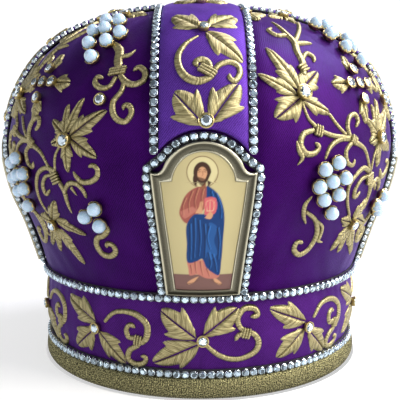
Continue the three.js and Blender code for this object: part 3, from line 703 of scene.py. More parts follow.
def turned_cup(profile, sides, scallop=0):
    """A cup turned from a closed outline; its upper points rise and fall in eight scallops."""
    angles = round_turn(sides)
    section = np.array(profile, float)
    radius, z = section[:, :1] + 0 * angles, section[:, 1:2] + 0 * angles
    top = section[:, 1].max()
    z = z + scallop * np.cos(8 * angles) * np.clip(z / top, 0, 1)**3
    points = np.stack([radius * np.cos(angles), radius * np.sin(angles), z], -1).reshape(-1, 3)
    faces = grid_faces(len(profile) + 1, sides, closed=True) % (len(profile) * sides)
    return points, faces.tolist()


def claws(count, radius, low, high, size):
    """Small wedge-shaped claws that stand round a stone and bend in over its edge."""
    points, faces = [], []
    bend = ((.25, low, 1), (.2, .6 * low + .4 * high, 1), (-.35, high, .6), (-.8, high - .1 * size, .4))
    for k in range(count):
        angle = (k + .5) * 2 * math.pi / count
        out = np.array([math.cos(angle), math.sin(angle), 0])
        side = np.array([-math.sin(angle), math.cos(angle), 0]) * size / 2
        start = len(points)
        for past_edge, z, wide in bend:
            middle = out * (radius + past_edge * size) + (0, 0, z)
            points += [middle + side * wide, middle - side * wide]
        for j in range(0, 6, 2):
            faces.append([start + j, start + j + 1, start + j + 3, start + j + 2])
        faces.append([start, start + 2, start + 4, start + 6])
        faces.append([start + 7, start + 5, start + 3, start + 1])
    return np.array(points), faces


class Assembly:
    """Copies of small templates, gathered into one mesh."""

    def __init__(self):
        self.points, self.faces, self.choice, self.shades, self.count = [], [], [], [], 0

    def add(self, template, axes, place, material, shade=None, scale=1):
        points, faces = template
        self.points.append(scale * points @ axes + place)
        self.faces += [[v + self.count for v in face] for face in faces]
        self.choice += [material] * len(faces)
        self.shades.append(np.full((len(points), 4), 1.0) if shade is None else shade)
        self.count += len(points)

    def make(self, name, materials, angle=0, smooth=False):
        points = turned(np.concatenate(self.points), angle) if angle else np.concatenate(self.points)
        return make_piece(name, points, self.faces, materials, smooth=smooth, choice=self.choice,
                          colours=np.concatenate(self.shades))


# the stone's girdle, crown and table, as rings of radius, height and half steps of turn
cut_stone = facet_rings([(1.98, 1.9, 0), (1.72, 2.6, 1), (1.1, 3.1, 0)], 8)
silver_cup = turned_cup([(1.5, 0), (2.05, .9), (2.1, 2), (1.9, 2.15), (1.8, 1.6), (1.2, .4)], 12)
chain_claws = claws(4, 2, 1.2, 2.75, .62)

# crystal backed with foil: its colour holds painted reflections, the bright and dark flashes that its
# facets throw back
crystal, tree, shader = new_finish("foiled_crystal", Metallic=.92, Roughness=.13)
flash = add_node(tree, "ShaderNodeAttribute", attribute_name="paint").outputs["Color"]
tree.links.new(flash, shader.inputs["Base Color"])
# stamped and plated brass, greyed a little where the plating has worn
silver, tree, shader = new_finish("silver_plate", Metallic=1, Roughness=.24)
wear = add_node(tree, "ShaderNodeTexNoise", {"Scale": 700, "Detail": 2})
uneven(tree, shader, wear.outputs["Fac"], ("#8d979b", "#e3eaec"))
# a nearly black strip under the stones, with a fine grain, that draws a dark line between them
dark_under_strip, tree, shader = new_finish("dark_under_strip", Roughness=.8, Base_Color=colour("#15121c"))
under_strip_grain = add_node(tree, "ShaderNodeTexNoise", {"Scale": 1600})
uneven(tree, shader, under_strip_grain.outputs["Fac"], relief=(.4, .0002))

flashes = np.random.default_rng(7)


def painted_facet_reflections(template, cool="#b4c6d2"):
    """Painted reflections: a brightness for each facet, as if each threw back another part of the room.
    """
    points, faces = template
    shades = np.ones((len(points), 4))
    for face in faces:
        bright = flashes.choice([.16, .45, .8, 1.0, 1.25], p=[.16, .2, .26, .24, .14])
        shades[face, :3] = np.clip(np.array(colour(cool)[:3]) * bright * 1.15, 0, 1)
    return shades


def axes_of(along_way, outward):
    """Rows of a turned frame: along the way, across it and outward."""
    outward = outward / np.linalg.norm(outward)
    across = np.cross(outward, along_way)
    across /= np.linalg.norm(across)
    return np.array([np.cross(across, outward), across, outward])


def stone_chain(name, centres, outwards, replaced, closed=False):
    """One chain of stones along a line of points, each with its outward direction."""
    steps = np.linalg.norm(np.diff(centres, axis=0), axis=1)
    run = np.concatenate([[0], np.cumsum(steps)])
    count = round(run[-1] / STONE_PITCH) + (0 if closed else 1)
    stops = np.linspace(0, run[-1], count, endpoint=not closed)
    place = np.stack([np.interp(stops, run, centres[:, k]) for k in range(3)], -1)
    out = np.stack([np.interp(stops, run, outwards[:, k]) for k in range(3)], -1)
    way = np.roll(place, -1, axis=0) - np.roll(place, 1, axis=0)
    if not closed:
        way[0], way[-1] = place[1] - place[0], place[-1] - place[-2]
    chain = Assembly()
    for p, o, w in zip(place, out, way):
        axes = axes_of(w, o)
        chain.add(cut_stone, axes, p, 0, painted_facet_reflections(cut_stone))
        chain.add(silver_cup, axes, p, 1)
        chain.add(chain_claws, axes, p, 1)
    side = np.cross(out, way)
    side /= np.linalg.norm(side, axis=1)[:, None]
    out = out / np.linalg.norm(out, axis=1)[:, None]
    under_strip = np.stack([place + side * x + out * z for x, z in UNDER_STRIP_CORNERS], 1).reshape(-1, 3)
    last = len(under_strip) - 1
    if closed:
        faces = (grid_faces(len(place) + 1, 4, closed=True) % len(under_strip)).tolist()
    else:
        faces = [*grid_faces(len(place), 4, closed=True).tolist(), [0, 1, 2, 3],
                 [last, last - 1, last - 2, last - 3]]
    chain.add((under_strip, faces), np.eye(3), np.zeros(3), 2)
    piece = chain.make(name, [crystal, silver, dark_under_strip])
    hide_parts(replaced)


def chain_over_crown(name, across, along, angle, replaced):
    """A chain along places on the crown."""
    centres = turned(over_crown(across, along, CHAIN_LIFT), angle)
    outwards = turned(over_crown(across, along, CHAIN_LIFT + 1), angle) - centres
    stone_chain(name, centres, outwards, replaced)


for name, radius, height in (("foot", 94.8, 13.4), ("top", 96.56, 54.7)):
    angles = np.linspace(0, 2 * math.pi, 721)
    outwards = np.stack([np.sin(angles), -np.cos(angles), 0 * angles], -1)
    centres = outwards * (radius + CHAIN_LIFT) + (0, 0, height)
    stone_chain(f"stones_ring_{name}", centres, outwards, f"ring_chain_{name}", closed=True)

STRIP_CHAIN_ACROSS = 23.4
FIRST_STONE_ALONG = 81.3
for edge, across in (("left", -STRIP_CHAIN_ACROSS), ("right", STRIP_CHAIN_ACROSS)):
    run = np.linspace(FIRST_STONE_ALONG, LINE_LENGTH - FIRST_STONE_ALONG, 240)
    chain_over_crown(f"stones_long_{edge}", across, run, 0, f"strip_chain_long_{edge}")
    for name, angle in (("right", QUARTER), ("left", -QUARTER)):
        run = np.linspace(FIRST_STONE_ALONG, MEETING - 2, 120)
        chain_over_crown(f"stones_{name}_{edge}", across, run, angle, f"strip_chain_{name}_{edge}")

ICON_CHAIN_GAP = 2.6
chain_foot = (ICON_HALF_WIDTHS[0] + ICON_CHAIN_GAP, 4.2)
chain_shoulder = (ICON_HALF_WIDTHS[1] + ICON_CHAIN_GAP - .1, 69.5)
arch_turn = np.radians(np.linspace(32, 90, 24))
chain_arch = np.stack([np.cos(arch_turn), np.sin(arch_turn)], -1) * (ARCH_RADIUS + ICON_CHAIN_GAP)
chain_half = np.vstack([np.linspace(chain_foot, chain_shoulder, 40), (26.8, 72.2), (25, 74.2),
                        (22.6, 75.4), chain_arch + (0, ARCH_CENTRE)])
chain_line = np.vstack([chain_half, chain_half[-2::-1] * (-1, 1)])
for i, name in enumerate(SIDES):
    chain_over_crown(f"stones_icon_{name}", *chain_line.T, i * QUARTER, f"icon_chain_{name}")


# Pearls
# Imitation pearls glued into thin gold cups with scalloped edges, in bunches of eight and of
# three like grapes. The cups are sewn down side by side, following the crown.

PEARL_RADIUS = 3.5
# turn in degrees from the panel's middle, share of the way up it, and each pearl's place
BUNCHES = {
    "pearls_low": (-12, .261, ((-6.3, 8.6), (2, 11.5), (8.2, 3.6), (-.5, 2.3), (-8.3, .1), (5.3, -4.7),
                               (-4, -6.8), (3.5, -14.5))),
    "pearls_small": (16.3, .196, ((-4.8, -.1), (2.2, 4.6), (2.7, -4.5))),
    "pearls_high": (11.1, .605, ((-8, 2.2), (-4.5, -7.5), (2.4, -16.8), (-6.9, 12.7), (-1.5, 4.3),
                                 (6.1, -6.3), (2.8, 11.7), (10.8, -.2))),
}


def on_panel(x, y, lift, turn, along):
    """Points on a crown panel, x to the right and y up from its place at turn and along."""
    x, y, lift = np.broadcast_arrays(*(np.asarray(v, float) for v in (x, y, lift)))
    radius = on_outline(along + y)[0]
    return round_crown(math.radians(45 + turn) + x / radius, along + y, lift)


def seat_on_panel(x, y, lift, turn, along):
    """A place on a panel and a frame there: to the right, up the crown and outward."""
    place = on_panel(x, y, lift, turn, along)
    right = on_panel(x + .5, y, lift, turn, along) - place
    up = on_panel(x, y + .5, lift, turn, along) - place
    return place, axes_of(right, np.cross(right, up))


def ball(radius, rows, columns, height):
    """A round pearl whose middle is at a height."""
    angles = round_turn(columns)
    tilt = np.linspace(.02 - QUARTER, QUARTER - .02, rows)[:, None]
    points = np.stack([np.cos(tilt) * np.cos(angles), np.cos(tilt) * np.sin(angles),
                       np.sin(tilt) + 0 * angles], -1)
    faces = grid_faces(rows, columns, closed=True).tolist()
    faces += [list(range(columns))[::-1], list(range((rows - 1) * columns, rows * columns))]
    return points.reshape(-1, 3) * radius + (0, 0, height), faces


# glass beads dipped in pearl lacquer: blue-white, with a clear gloss over a soft body
pearl_gloss, tree, shader = new_finish(
    "pearl_lustre", Roughness=.16, IOR=1.53, Coat_Weight=1, Coat_Roughness=.08, Sheen_Weight=.1,
    Sheen_Tint=colour("#dbe8ff"), Subsurface_Weight=.15, Subsurface_Scale=.002)
grains = add_node(tree, "ShaderNodeTexNoise", {"Scale": 240, "Detail": 2})
uneven(tree, shader, grains.outputs["Fac"], ("#7c98b2", "#bfd6e6"), (.3, .7))
# thin gold plate, browner where it has worn
cup_gold, tree, shader = new_finish("gold_plate", Metallic=1, Roughness=.3)
worn = add_node(tree, "ShaderNodeTexNoise", {"Scale": 500, "Detail": 2})
uneven(tree, shader, worn.outputs["Fac"], ("#85703c", "#dccb92"))

pearl = ball(PEARL_RADIUS, 14, 20, 3.7)
CUP_SECTION = ((2.2, 0), (3.3, .7), (3.8, 1.8), (4.1, 2.9), (3.95, 3), (3.6, 2.1), (2.9, 1), (1.8, .4))
scalloped_cup = turned_cup(CUP_SECTION, 32, scallop=.5)
for bunch, (turn_deg, rise_share, offsets) in BUNCHES.items():
    for i, name in enumerate(PANELS):
        cluster = Assembly()
        for x, y in offsets:
            place, axes = seat_on_panel(x, y, .1, turn_deg, rise_share * CROWN_LENGTH)
            cluster.add(scalloped_cup, axes, place, 1)
            cluster.add(pearl, axes, place, 0)
        piece = cluster.make(f"{bunch}_cups_{name}", [pearl_gloss, cup_gold], i * QUARTER, smooth=True)
        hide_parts(f"{bunch}_{name}")


# Set stones
# Larger clear stones with foiled backs in gold cups. A ring of small claws is pressed over each
# stone's edge. They sit in the middle of the embroidered leaves.

set_stone = facet_rings([(3.15, 2.5, 0), (2.7, 3.4, 1), (1.7, 4.1, 0)], 10)
set_cup = turned_cup([(2.6, 0), (3.6, .6), (3.95, 2.2), (4, 3), (3.6, 3.15), (3.1, 2.6), (2.6, .8)], 24)
set_claws = claws(8, 3.45, 2.2, 3.6, .8)


def stone_piece(name, seats, angle, replaced=None):
    """One piece of set stones from (place, axes, scale)."""
    cluster = Assembly()
    for place, axes, scale in seats:
        cluster.add(set_stone, axes, place, 0, painted_facet_reflections(set_stone, "#c6d4de"), scale)
        cluster.add(set_cup, axes, place, 1, scale=scale)
        cluster.add(set_claws, axes, place, 1, scale=scale)
    piece = cluster.make(name, [crystal, cup_gold], angle)
    if replaced:
        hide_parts(replaced)


def seat_on_strip(across, along):
    """A place on a padded strip and a frame there."""
    lift = strip_lift(across / (STRIP_WIDTH / 2))
    place = over_crown(across, along, lift)
    right = over_crown(across + .5, along, lift) - place
    up = over_crown(across, along + .5, lift) - place
    return place, axes_of(right, np.cross(right, up))


# turn in degrees from the panel's middle, and share of the way up it
PANEL_STONES = {"stone_high": (-19, .454), "stone_low": (9.5, .354)}
for i, name in enumerate(PANELS):
    for stone, (turn_deg, rise_share) in PANEL_STONES.items():
        seat = seat_on_panel(0, 0, .2, turn_deg, rise_share * CROWN_LENGTH)
        stone_piece(f"set_{stone}_{name}", [(*seat, 1)], i * QUARTER, f"{stone}_{name}")
STRIP_STONE_ALONG = 94.1
STRIP_STONE_SCALE = .93
for i, name in enumerate(SIDES):
    seats = [(*seat_on_strip(1, STRIP_STONE_ALONG), STRIP_STONE_SCALE)]
    stone_piece(f"set_stone_strip_{name}", seats, i * QUARTER, f"stone_strip_{name}")


# Gold embroidery
# Leaves, tendrils and knots worked by hand in gold metal thread, in satin stitch over card and
# cord padding, so they stand about a millimetre proud. Stitches slant from each leaf's middle
# vein; the tendrils are crossed by them, and the knots are short bars over both.

THREAD_ROW = .55
LEAF_HEIGHT = 1.25
# for shares of the middle vein, how long the stitches that start there are
LEAF_STITCHES = (
    (0, .42), (.06, .66), (.13, .86), (.2, .97), (.26, 1), (.31, .98), (.34, .9), (.365, .7), (.42, .66),
    (.5, .62), (.6, .55), (.7, .47), (.8, .37), (.9, .24), (1, .05),
)
STITCH_LEAN = 1.08
LEAF_TUCK = 2.2
# a leaf's padding: height over the cloth at shares of the way from the vein to the edge
LEAF_PADDING = ((0, -.1), (.12, .85), (.3, 1), (.5, 1), (.7, .88), (.88, .55), (1, -.12))
# a tendril's padding, from one edge over its middle to the other
CORD_PADDING = (-.2, .55, .9, 1, .9, .55, -.2)


def leaf(x, y, tip_x, tip_y, width):
    """The two halves of a leaf, each a grid of x, y and height, with the thread's direction."""
    vein = np.array([tip_x - x, tip_y - y], float)
    length = np.hypot(*vein) + LEAF_TUCK
    vein /= np.hypot(*vein)
    side = np.array([-vein[1], vein[0]])
    rows = max(int(length / THREAD_ROW), 14)
    share = np.linspace(0, 1, rows)
    out, rise = np.array(LEAF_PADDING).T
    row = np.arange(rows)
    for sign in (1, -1):
        reach = np.interp(share + .03 * sign, *np.array(LEAF_STITCHES).T) * width * .52
        reach = (reach * (1 + .02 * np.sin(row * 2.3)))[:, None]
        root = np.array([x, y]) + vein * (share * length - LEAF_TUCK)[:, None] + side * sign * .2
        stitch = side * sign + vein * STITCH_LEAN * (1 - .3 * share)[:, None]
        flat = root[:, None] + stitch[:, None] * (reach * out)[..., None]
        bundles = .045 * np.sin(row * 2.1 + np.sin(row * .7))[:, None] * (out > 0) * (out < 1)
        thin = np.clip(np.minimum(share * 6 + .4, (1 - share) * 5 + .25), 0, 1)[:, None]
        height = LEAF_HEIGHT * rise * thin + bundles
        threads = np.stack([share[:, None] * length + 0 * out, reach * out], -1)
        yield np.concatenate([flat, height[..., None]], -1), threads


def cord(points, lift=0):
    """A tendril through places of x, y and width, as one grid with rounded, tapering ends."""
    line = smooth_line(points, 10)
    run = np.concatenate([[0], np.cumsum(np.hypot(*np.diff(line[:, :2], axis=0).T))])
    rows = max(int(run[-1] / THREAD_ROW), 5)
    stops = np.linspace(0, run[-1], rows)
    line = np.stack([np.interp(stops, run, line[:, k]) for k in range(3)], -1)
    way = np.gradient(line[:, :2], axis=0)
    way /= np.linalg.norm(way, axis=1)[:, None] + 1e-9
    side = np.stack([-way[:, 1], way[:, 0]], -1)
    ends = np.clip(np.minimum(stops, run[-1] - stops) / 1.1 + .08, 0, 1)**.6
    wide = line[:, 2] / 2 * ends * (1 + .03 * (np.arange(rows) % 2))
    rise = np.array(CORD_PADDING)
    out = np.linspace(-1, 1, len(rise))
    across = (wide[:, None] * np.sin(out * 1.5))[..., None]
    slant = (wide[:, None] * .35 * np.abs(out))[..., None]
    flat = line[:, None, :2] + side[:, None] * across - way[:, None] * slant
    tall = np.minimum(.5 * line[:, 2], LEAF_HEIGHT) * ends + .05 * (np.arange(rows) % 2)
    height = tall[:, None] * rise + lift * (rise > 0)
    threads = np.stack([stops[:, None] + 0 * out, wide[:, None] * out], -1)
    yield np.concatenate([flat, height[..., None]], -1), threads


def knot(x, y, degrees, length, bars=3):
    """Short bars of thread side by side over a tendril; degrees is the way the bars run."""
    way = np.array([math.cos(math.radians(degrees)), math.sin(math.radians(degrees))])
    side = np.array([-way[1], way[0]])
    for k in range(bars):
        middle = np.array([x, y]) + side * (k - (bars - 1) / 2) * 1.5
        ends = [middle - way * length / 2, middle, middle + way * length / 2]
        yield from cord([(*place, 1.5) for place in ends], lift=1)


def sewn_piece(name, motifs, on_cloth, angle):
    """One embroidered piece from motifs of leaves, cords and knots, laid on the cloth."""
    points, faces, threads, count = [], [], [], 0
    for leaves, cords, knots in motifs:
        grids = [grid for one in leaves for grid in leaf(*one)]
        grids += [grid for one in cords for grid in cord(one)]
        grids += [grid for one in knots for grid in knot(*one)]
        for grid, thread in grids:
            across = grid[:, -1, :2] - grid[:, 0, :2]
            onward = np.gradient(grid[:, 0, :2], axis=0)
            if (across[:, 0] * onward[:, 1] - across[:, 1] * onward[:, 0]).sum() < 0:
                grid, thread = grid[:, ::-1], thread[:, ::-1]
            rows, columns = grid.shape[:2]
            points.append(on_cloth(grid[..., 0], grid[..., 1], grid[..., 2]).reshape(-1, 3))
            faces.append(grid_faces(rows, columns, count))
            threads.append(thread.reshape(-1, 2))
            count += rows * columns
    piece = make_piece(name, turned(np.concatenate(points), angle), np.concatenate(faces), [gold_thread],
                       uv=np.concatenate(threads))


# metal strip wound on silk, with a warm, soft gloss. Its streaks are partly the threads' own tone
# and partly painted highlight, with painted shade in the darker lines between the threads
gold_thread, tree, shader = new_finish(
    "gold_metal_thread", Metallic=.85, Roughness=.4, Specular_IOR_Level=.5, Anisotropic=.75)
place = add_node(tree, "ShaderNodeUVMap", uv_map="cloth").outputs["UV"]
# real threads are 0.3 mm wide; their bundles are drawn 0.6 mm wide so that they show
stretched = add_node(tree, "ShaderNodeMapping", {"Vector": place, "Scale": (1.2, .12, 1)})
threads = add_node(tree, "ShaderNodeTexNoise", {
    "Vector": stretched.outputs["Vector"], "Scale": 1.3, "Detail": 3, "Roughness": .65})
uneven(tree, shader, threads.outputs["Fac"], ("#43371b", "#bdb384"), (.32, .68), (.7, .0005))
# round threads spread their gloss across themselves, so the two halves of a leaf shine differently
across_threads = add_node(tree, "ShaderNodeTangent", direction_type="UV_MAP", uv_map="cloth")
tree.links.new(across_threads.outputs["Tangent"], shader.inputs["Tangent"])

# Each motif is (leaves, cords, knots); on a panel x runs to the right of its middle and y up
# from the crown's foot.
HIGH_FLOWER = (
    [(-38.4, 112.5, -43.5, 136, 11), (-42, 109.2, -56.7, 119, 9), (-40, 105.8, -54.9, 96.3, 14),
     (-36.5, 105, -23, 98.6, 9), (-36.5, 111, -21.5, 121.5, 11)],
    [[(-31.1, 119, 3), (-27.1, 127.4, 4), (-25.9, 134.1, 4), (-22.3, 142.1, 3.5), (-22.1, 148.8, 3),
      (-21.2, 156.1, 2.2), (-19.9, 162.8, 1)],
     [(-23.5, 140.6, 3), (-16.4, 141.4, 3), (-10, 141.4, 1)],
     [(-22, 142, 3), (-8.2, 154.1, 2.5), (4, 166, 2)],
     [(-27, 128.5, 2.5), (-20.1, 133.4, 2.5), (-17.6, 130.7, 2.5), (-19.5, 127.4, 2)],
     [(-23.1, 147.8, 3), (-30.1, 147.1, 2.5), (-31, 151.8, 2), (-27, 154, 1.6)],
     [(-38.4, 105, 1.5), (-38.2, 101, 1.6), (-36.8, 95.6, 1.6), (-34, 92.6, 2), (-32.5, 90, 2)]],
    [(-29, 123.5, 20, 6)],
)
CROSS = (
    [(10.5, .2, 21.5, .2, 10), (-10.5, .2, -21.5, .2, 10), (0, 9, 1.5, 19, 8), (-1, -9.5, -1, -21.5, 9)],
    [], [],
)
MIDDLE_KNOT = (
    [],
    [[(-34.6, 90.3, 2.5), (-41.4, 88.3, 3.2), (-43.6, 83.2, 3.4), (-40.6, 78.9, 3.4), (-35.5, 78.9, 3.2),
      (-32.9, 81.9, 2.8), (-34.9, 84.2, 2.2)],
     [(-45.6, 85.3, .8), (-44.7, 80.6, 2.5), (-42.7, 76.9, 2.5), (-45.2, 73.2, .8)],
     [(-30.6, 89.6, 2.5), (-23.5, 87.3, 2.6), (-12.8, 85.9, 2.6)],
     [(-23.5, 98.6, 1.5), (-18.8, 92.3, 1.8), (-12.8, 86.9, 2)],
     [(-10.2, 85.6, 3.5), (-19, 84.9, 3), (-25.7, 81.2, 2.5), (-28.8, 75.2, 1.5)],
     [(-10.2, 85.9, 2.5), (-11.2, 91.6, 2.5), (-8, 96.6, 2.7), (-3, 97.6, 2.7), (-1.5, 94.3, 2.4),
      (-4.6, 90.9, 2)],
     [(-8.7, 83.6, 2.5), (-13.9, 78.9, 2.6), (-12.3, 73.2, 2.6), (-7.7, 71.5, 2.4), (-6.2, 74.6, 1.8)],
     [(-5.6, 83.2, 3), (2.1, 79.6, 2.2), (6.7, 73.9, 1.8), (10.5, 67.5, 2)]],
    [(-32.1, 89.9, 70, 6), (-7.5, 84.5, 60, 5)],
)
LOW_KNOT = (
    [],
    [[(14.4, 81.2, 1.2), (11.3, 76.9, 1.5), (9.7, 68.5, 1.6)],
     [(7.1, 66.5, 2), (.5, 64.9, 2.2), (-3.5, 59.5, 2.3), (-2, 55.2, 2.3), (2.5, 58.2, 1.6)],
     [(11.7, 62.9, 2.5), (14.1, 58.2, 2.5), (14.4, 51.5, 2), (15.1, 45.8, 1)],
     [(14.6, 58.8, 2), (19.3, 62.9, 2.8), (24.8, 62.5, 2.8), (27.7, 59.2, 2.2), (28.5, 55.5, 1.5)],
     [(19.7, 61.2, 2.5), (22.5, 56.5, .8)],
     [(23, 69.5, .9), (25, 66.5, 2.6), (27.9, 64.2, 2.9), (33, 64.5, 3.1), (37.8, 67.5, 3),
      (38.4, 71.2, 2.7), (35.9, 72.9, 2.4), (33.3, 71.9, 2)]],
    [(9.4, 65, 20, 7, 4)],
)
LONG_STEM = {
    "front_right": [(10.6, 66.9, 3), (3.6, 69.2, 2.8), (-3.1, 65.9, 2.5), (-7.6, 60.2, 2.2),
                    (-5.5, 51.8, 1.8), (2.9, 41.1, 1.5)],
    "front_left": [(10.2, 68.5, 3), (2.6, 69.9, 2.8), (-5.6, 66.5, 2.5), (-10.6, 58.8, 2),
                   (-10.9, 51.2, 1.6), (-7, 42.8, 1.3)],
}
STAR_FLOWER = (
    [(23, 88, 40.9, 100.3, 10.5), (19.5, 90, 25.5, 106.3, 6.5), (17.5, 89.5, 16.8, 103, 6),
     (16.5, 88.4, 7.5, 94.8, 7), (23.6, 85, 38.6, 77.2, 9.5), (19.2, 82.5, 19.9, 68.8, 7.5),
     (16.3, 85, 8.5, 82.5, 7)],
    [], [],
)
TOP_KNOT = (
    [],
    [[(23.6, 141.8, 2.4), (33, 134.7, 4.2), (36.2, 128, 4.4), (39.1, 123.4, 4)],
     [(35.4, 130, 2.4), (40.7, 131.4, 2.4), (42.2, 135.1, .8)],
     [(41.5, 119.4, 2.5), (46.9, 115, 3.4), (51.9, 113.7, 3.4), (55.6, 116, 3.2), (54.4, 120.7, 3),
      (50, 123.4, 2.8), (47.8, 121.4, 2.4)],
     [(40.3, 118.3, 2.5), (38.8, 112.7, 2.6), (35.1, 111.7, 3), (29.4, 114.7, 3), (29.4, 118, 2.8),
      (33.3, 117.3, 2)],
     [(45.6, 116.3, 2.2), (46.4, 110.3, 2.6), (43.8, 104.6, 3), (45, 99.3, 3.2), (48.9, 95.3, 3.2),
      (53, 94.9, 3.2), (55, 99, 3.1), (53.1, 102.3, 3), (50.6, 102.6, 2.8), (50.4, 100.3, 2.2)]],
    [(39.6, 121.2, 10, 9)],
)
SMALL_FLOWER = (
    [(.5, 3.5, 8, 15, 8.5), (5, 2.5, 23.5, -3.5, 6.5), (-1.5, -3.5, -3.6, -17.5, 6.5),
     (2.5, -4, 15.5, -22, 8), (-3.5, 1.5, -12.5, 4, 7), (-2.5, -2.5, -12, -15, 6.5)],
    [], [],
)
PEARL_TAILS = (
    [],
    [[(-33.1, 56.8, 1), (-36.2, 52.5, 2.5), (-35.2, 46.8, 2.3), (-31.1, 40.8, .8)],
     [(-34.3, 48.5, 2), (-25, 41.8, 2.5), (-20.5, 32.8, 2.8), (-23.1, 25.1, 3.1), (-28.4, 22.4, 3.2),
      (-32.8, 26.1, 3), (-32.3, 30.1, 2.6), (-28.1, 29.4, 2)],
     [(-25.5, 42.8, 1.5), (-18.4, 37.4, 2), (-17.6, 31.8, 2.2), (-17.9, 29.4, 2), (-13.3, 27.7, .8)],
     [(33.7, 42.8, 1.5), (35.3, 38.6, 2.6), (31.3, 34.4, 3), (26.2, 32, 3.2), (24.4, 27.7, 3.2),
      (26.6, 22.9, 3.4), (31.5, 22.2, 3.4), (35.4, 25.4, 3.2), (34.9, 28.8, 2.8), (31.6, 29.4, 2.4),
      (30.6, 26.9, 1.8)]],
    [],
)
TOP_FLOWER = (
    [(2.5, .5, 14, 1.5, 8), (-2.5, .5, -13, -2, 8), (0, 3, 2, 12, 7), (0, -3, -3, -12, 7)], [], [],
)


def moved(motif, x, y):
    """The same motif with its places moved by x and y."""
    leaves, cords, knots = motif
    return ([(a + x, b + y, c + x, d + y, *rest) for a, b, c, d, *rest in leaves],
            [[(a + x, b + y, w) for a, b, w in one] for one in cords],
            [(a + x, b + y, *rest) for a, b, *rest in knots])


# hand work differs from panel to panel: where the motifs of each lie
CROSS_PLACES = {"front_right": (7.6, 114.3), "front_left": (-9.2, 115)}
FLOWER_PLACES = {"front_right": (8, 36.4), "front_left": (-4.2, 37.1)}
KNOT_SHIFTS = {"front_right": (0, 0, 2.5, -2), "front_left": (-2.8, -2, 0, 0)}
# turn in degrees from the panel's middle, and distance up from the crown's foot
TOP_PLACES = ((2.5, 176), (-22.5, 176))
CROSS_STONES = ((0, 0), (8.7, 0), (-8.7, 0), (.4, 8.3), (-.6, -8.8))
TOP_KNOT_STONE = (37.4, 105)
for i, name in enumerate(PANELS):
    cross = CROSS_PLACES.get(name, (0, 114.6))
    flower = FLOWER_PLACES.get(name, (3, 36.7))
    shift = KNOT_SHIFTS.get(name, (-1, -1, 1, -1))
    stem = LONG_STEM.get(name, LONG_STEM["front_right"])
    tops = [(math.radians(deg) * on_outline(along)[0], along) for deg, along in TOP_PLACES]
    motifs = [HIGH_FLOWER, moved(CROSS, *cross), moved(MIDDLE_KNOT, *shift[:2]),
              moved(LOW_KNOT, *shift[2:]), ([], [stem], []), STAR_FLOWER, TOP_KNOT,
              moved(SMALL_FLOWER, *flower), PEARL_TAILS, *(moved(TOP_FLOWER, *place) for place in tops)]
    sewn_piece(f"embroidery_{name}", motifs, lambda x, y, h: on_panel(x, y, h - .2, 0, 0), i * QUARTER)
    stones = [(cross[0] + x, cross[1] + y, .82) for x, y in CROSS_STONES]
    stones += [(*flower, .88), (*TOP_KNOT_STONE, .82), *((*place, .82) for place in tops)]
    seats = [(*seat_on_panel(x, y, .3, 0, 0), scale) for x, y, scale in stones]
    stone_piece(f"small_stones_{name}", seats, i * QUARTER)

# On a strip x runs to the right of its middle and y along the crown from its foot.
STRIP_MOTIF = (
    [(-.8, 93.6, -13.5, 107.5, 17), (4, 95, 16, 112.2, 17), (-2, 146.5, -15, 158, 15),
     (3.5, 148, 16.5, 158.5, 15), (3, 141.5, 18.8, 125.5, 14), (-3, 188, -15, 191, 9),
     (3, 188, 14, 191.5, 9)],
    [[(-2, 140, 1), (-8.5, 134.1, 2.5), (-11.8, 127.1, 3.2), (-10.8, 119.5, 3.8), (-6.8, 114.6, 4.2),
      (-2, 113.3, 4.2), (2.5, 114.7, 3.2), (5, 116.5, 2)],
     [(3.5, 119.7, 2.5), (2, 123.2, 3.4), (-1, 124.6, 3.8), (-3.5, 122.9, 3.4), (-2.6, 120.5, 2.5)],
     [(5, 118.8, 2.5), (7.8, 122.1, 3), (12.5, 123.8, 3.2), (16.5, 121.9, 3.2), (17, 117.8, 3.2),
      (14.2, 113.9, 3), (12.2, 115.2, 2.6), (12, 117.6, 2)]],
    [(1.8, 118.2, -32, 9)],
)
STRIP_STONES = ((.5, 145.3, .8), (0, 186, .75))
for i, name in enumerate(SIDES):
    seats = [(*seat_on_strip(x, along), scale) for x, along, scale in STRIP_STONES]
    stone_piece(f"small_stones_strip_{name}", seats, i * QUARTER)
    sewn_piece(f"embroidery_strip_{name}", [STRIP_MOTIF],
               lambda x, y, h: over_crown(x, y, strip_lift(x / (STRIP_WIDTH / 2)) + h), i * QUARTER)

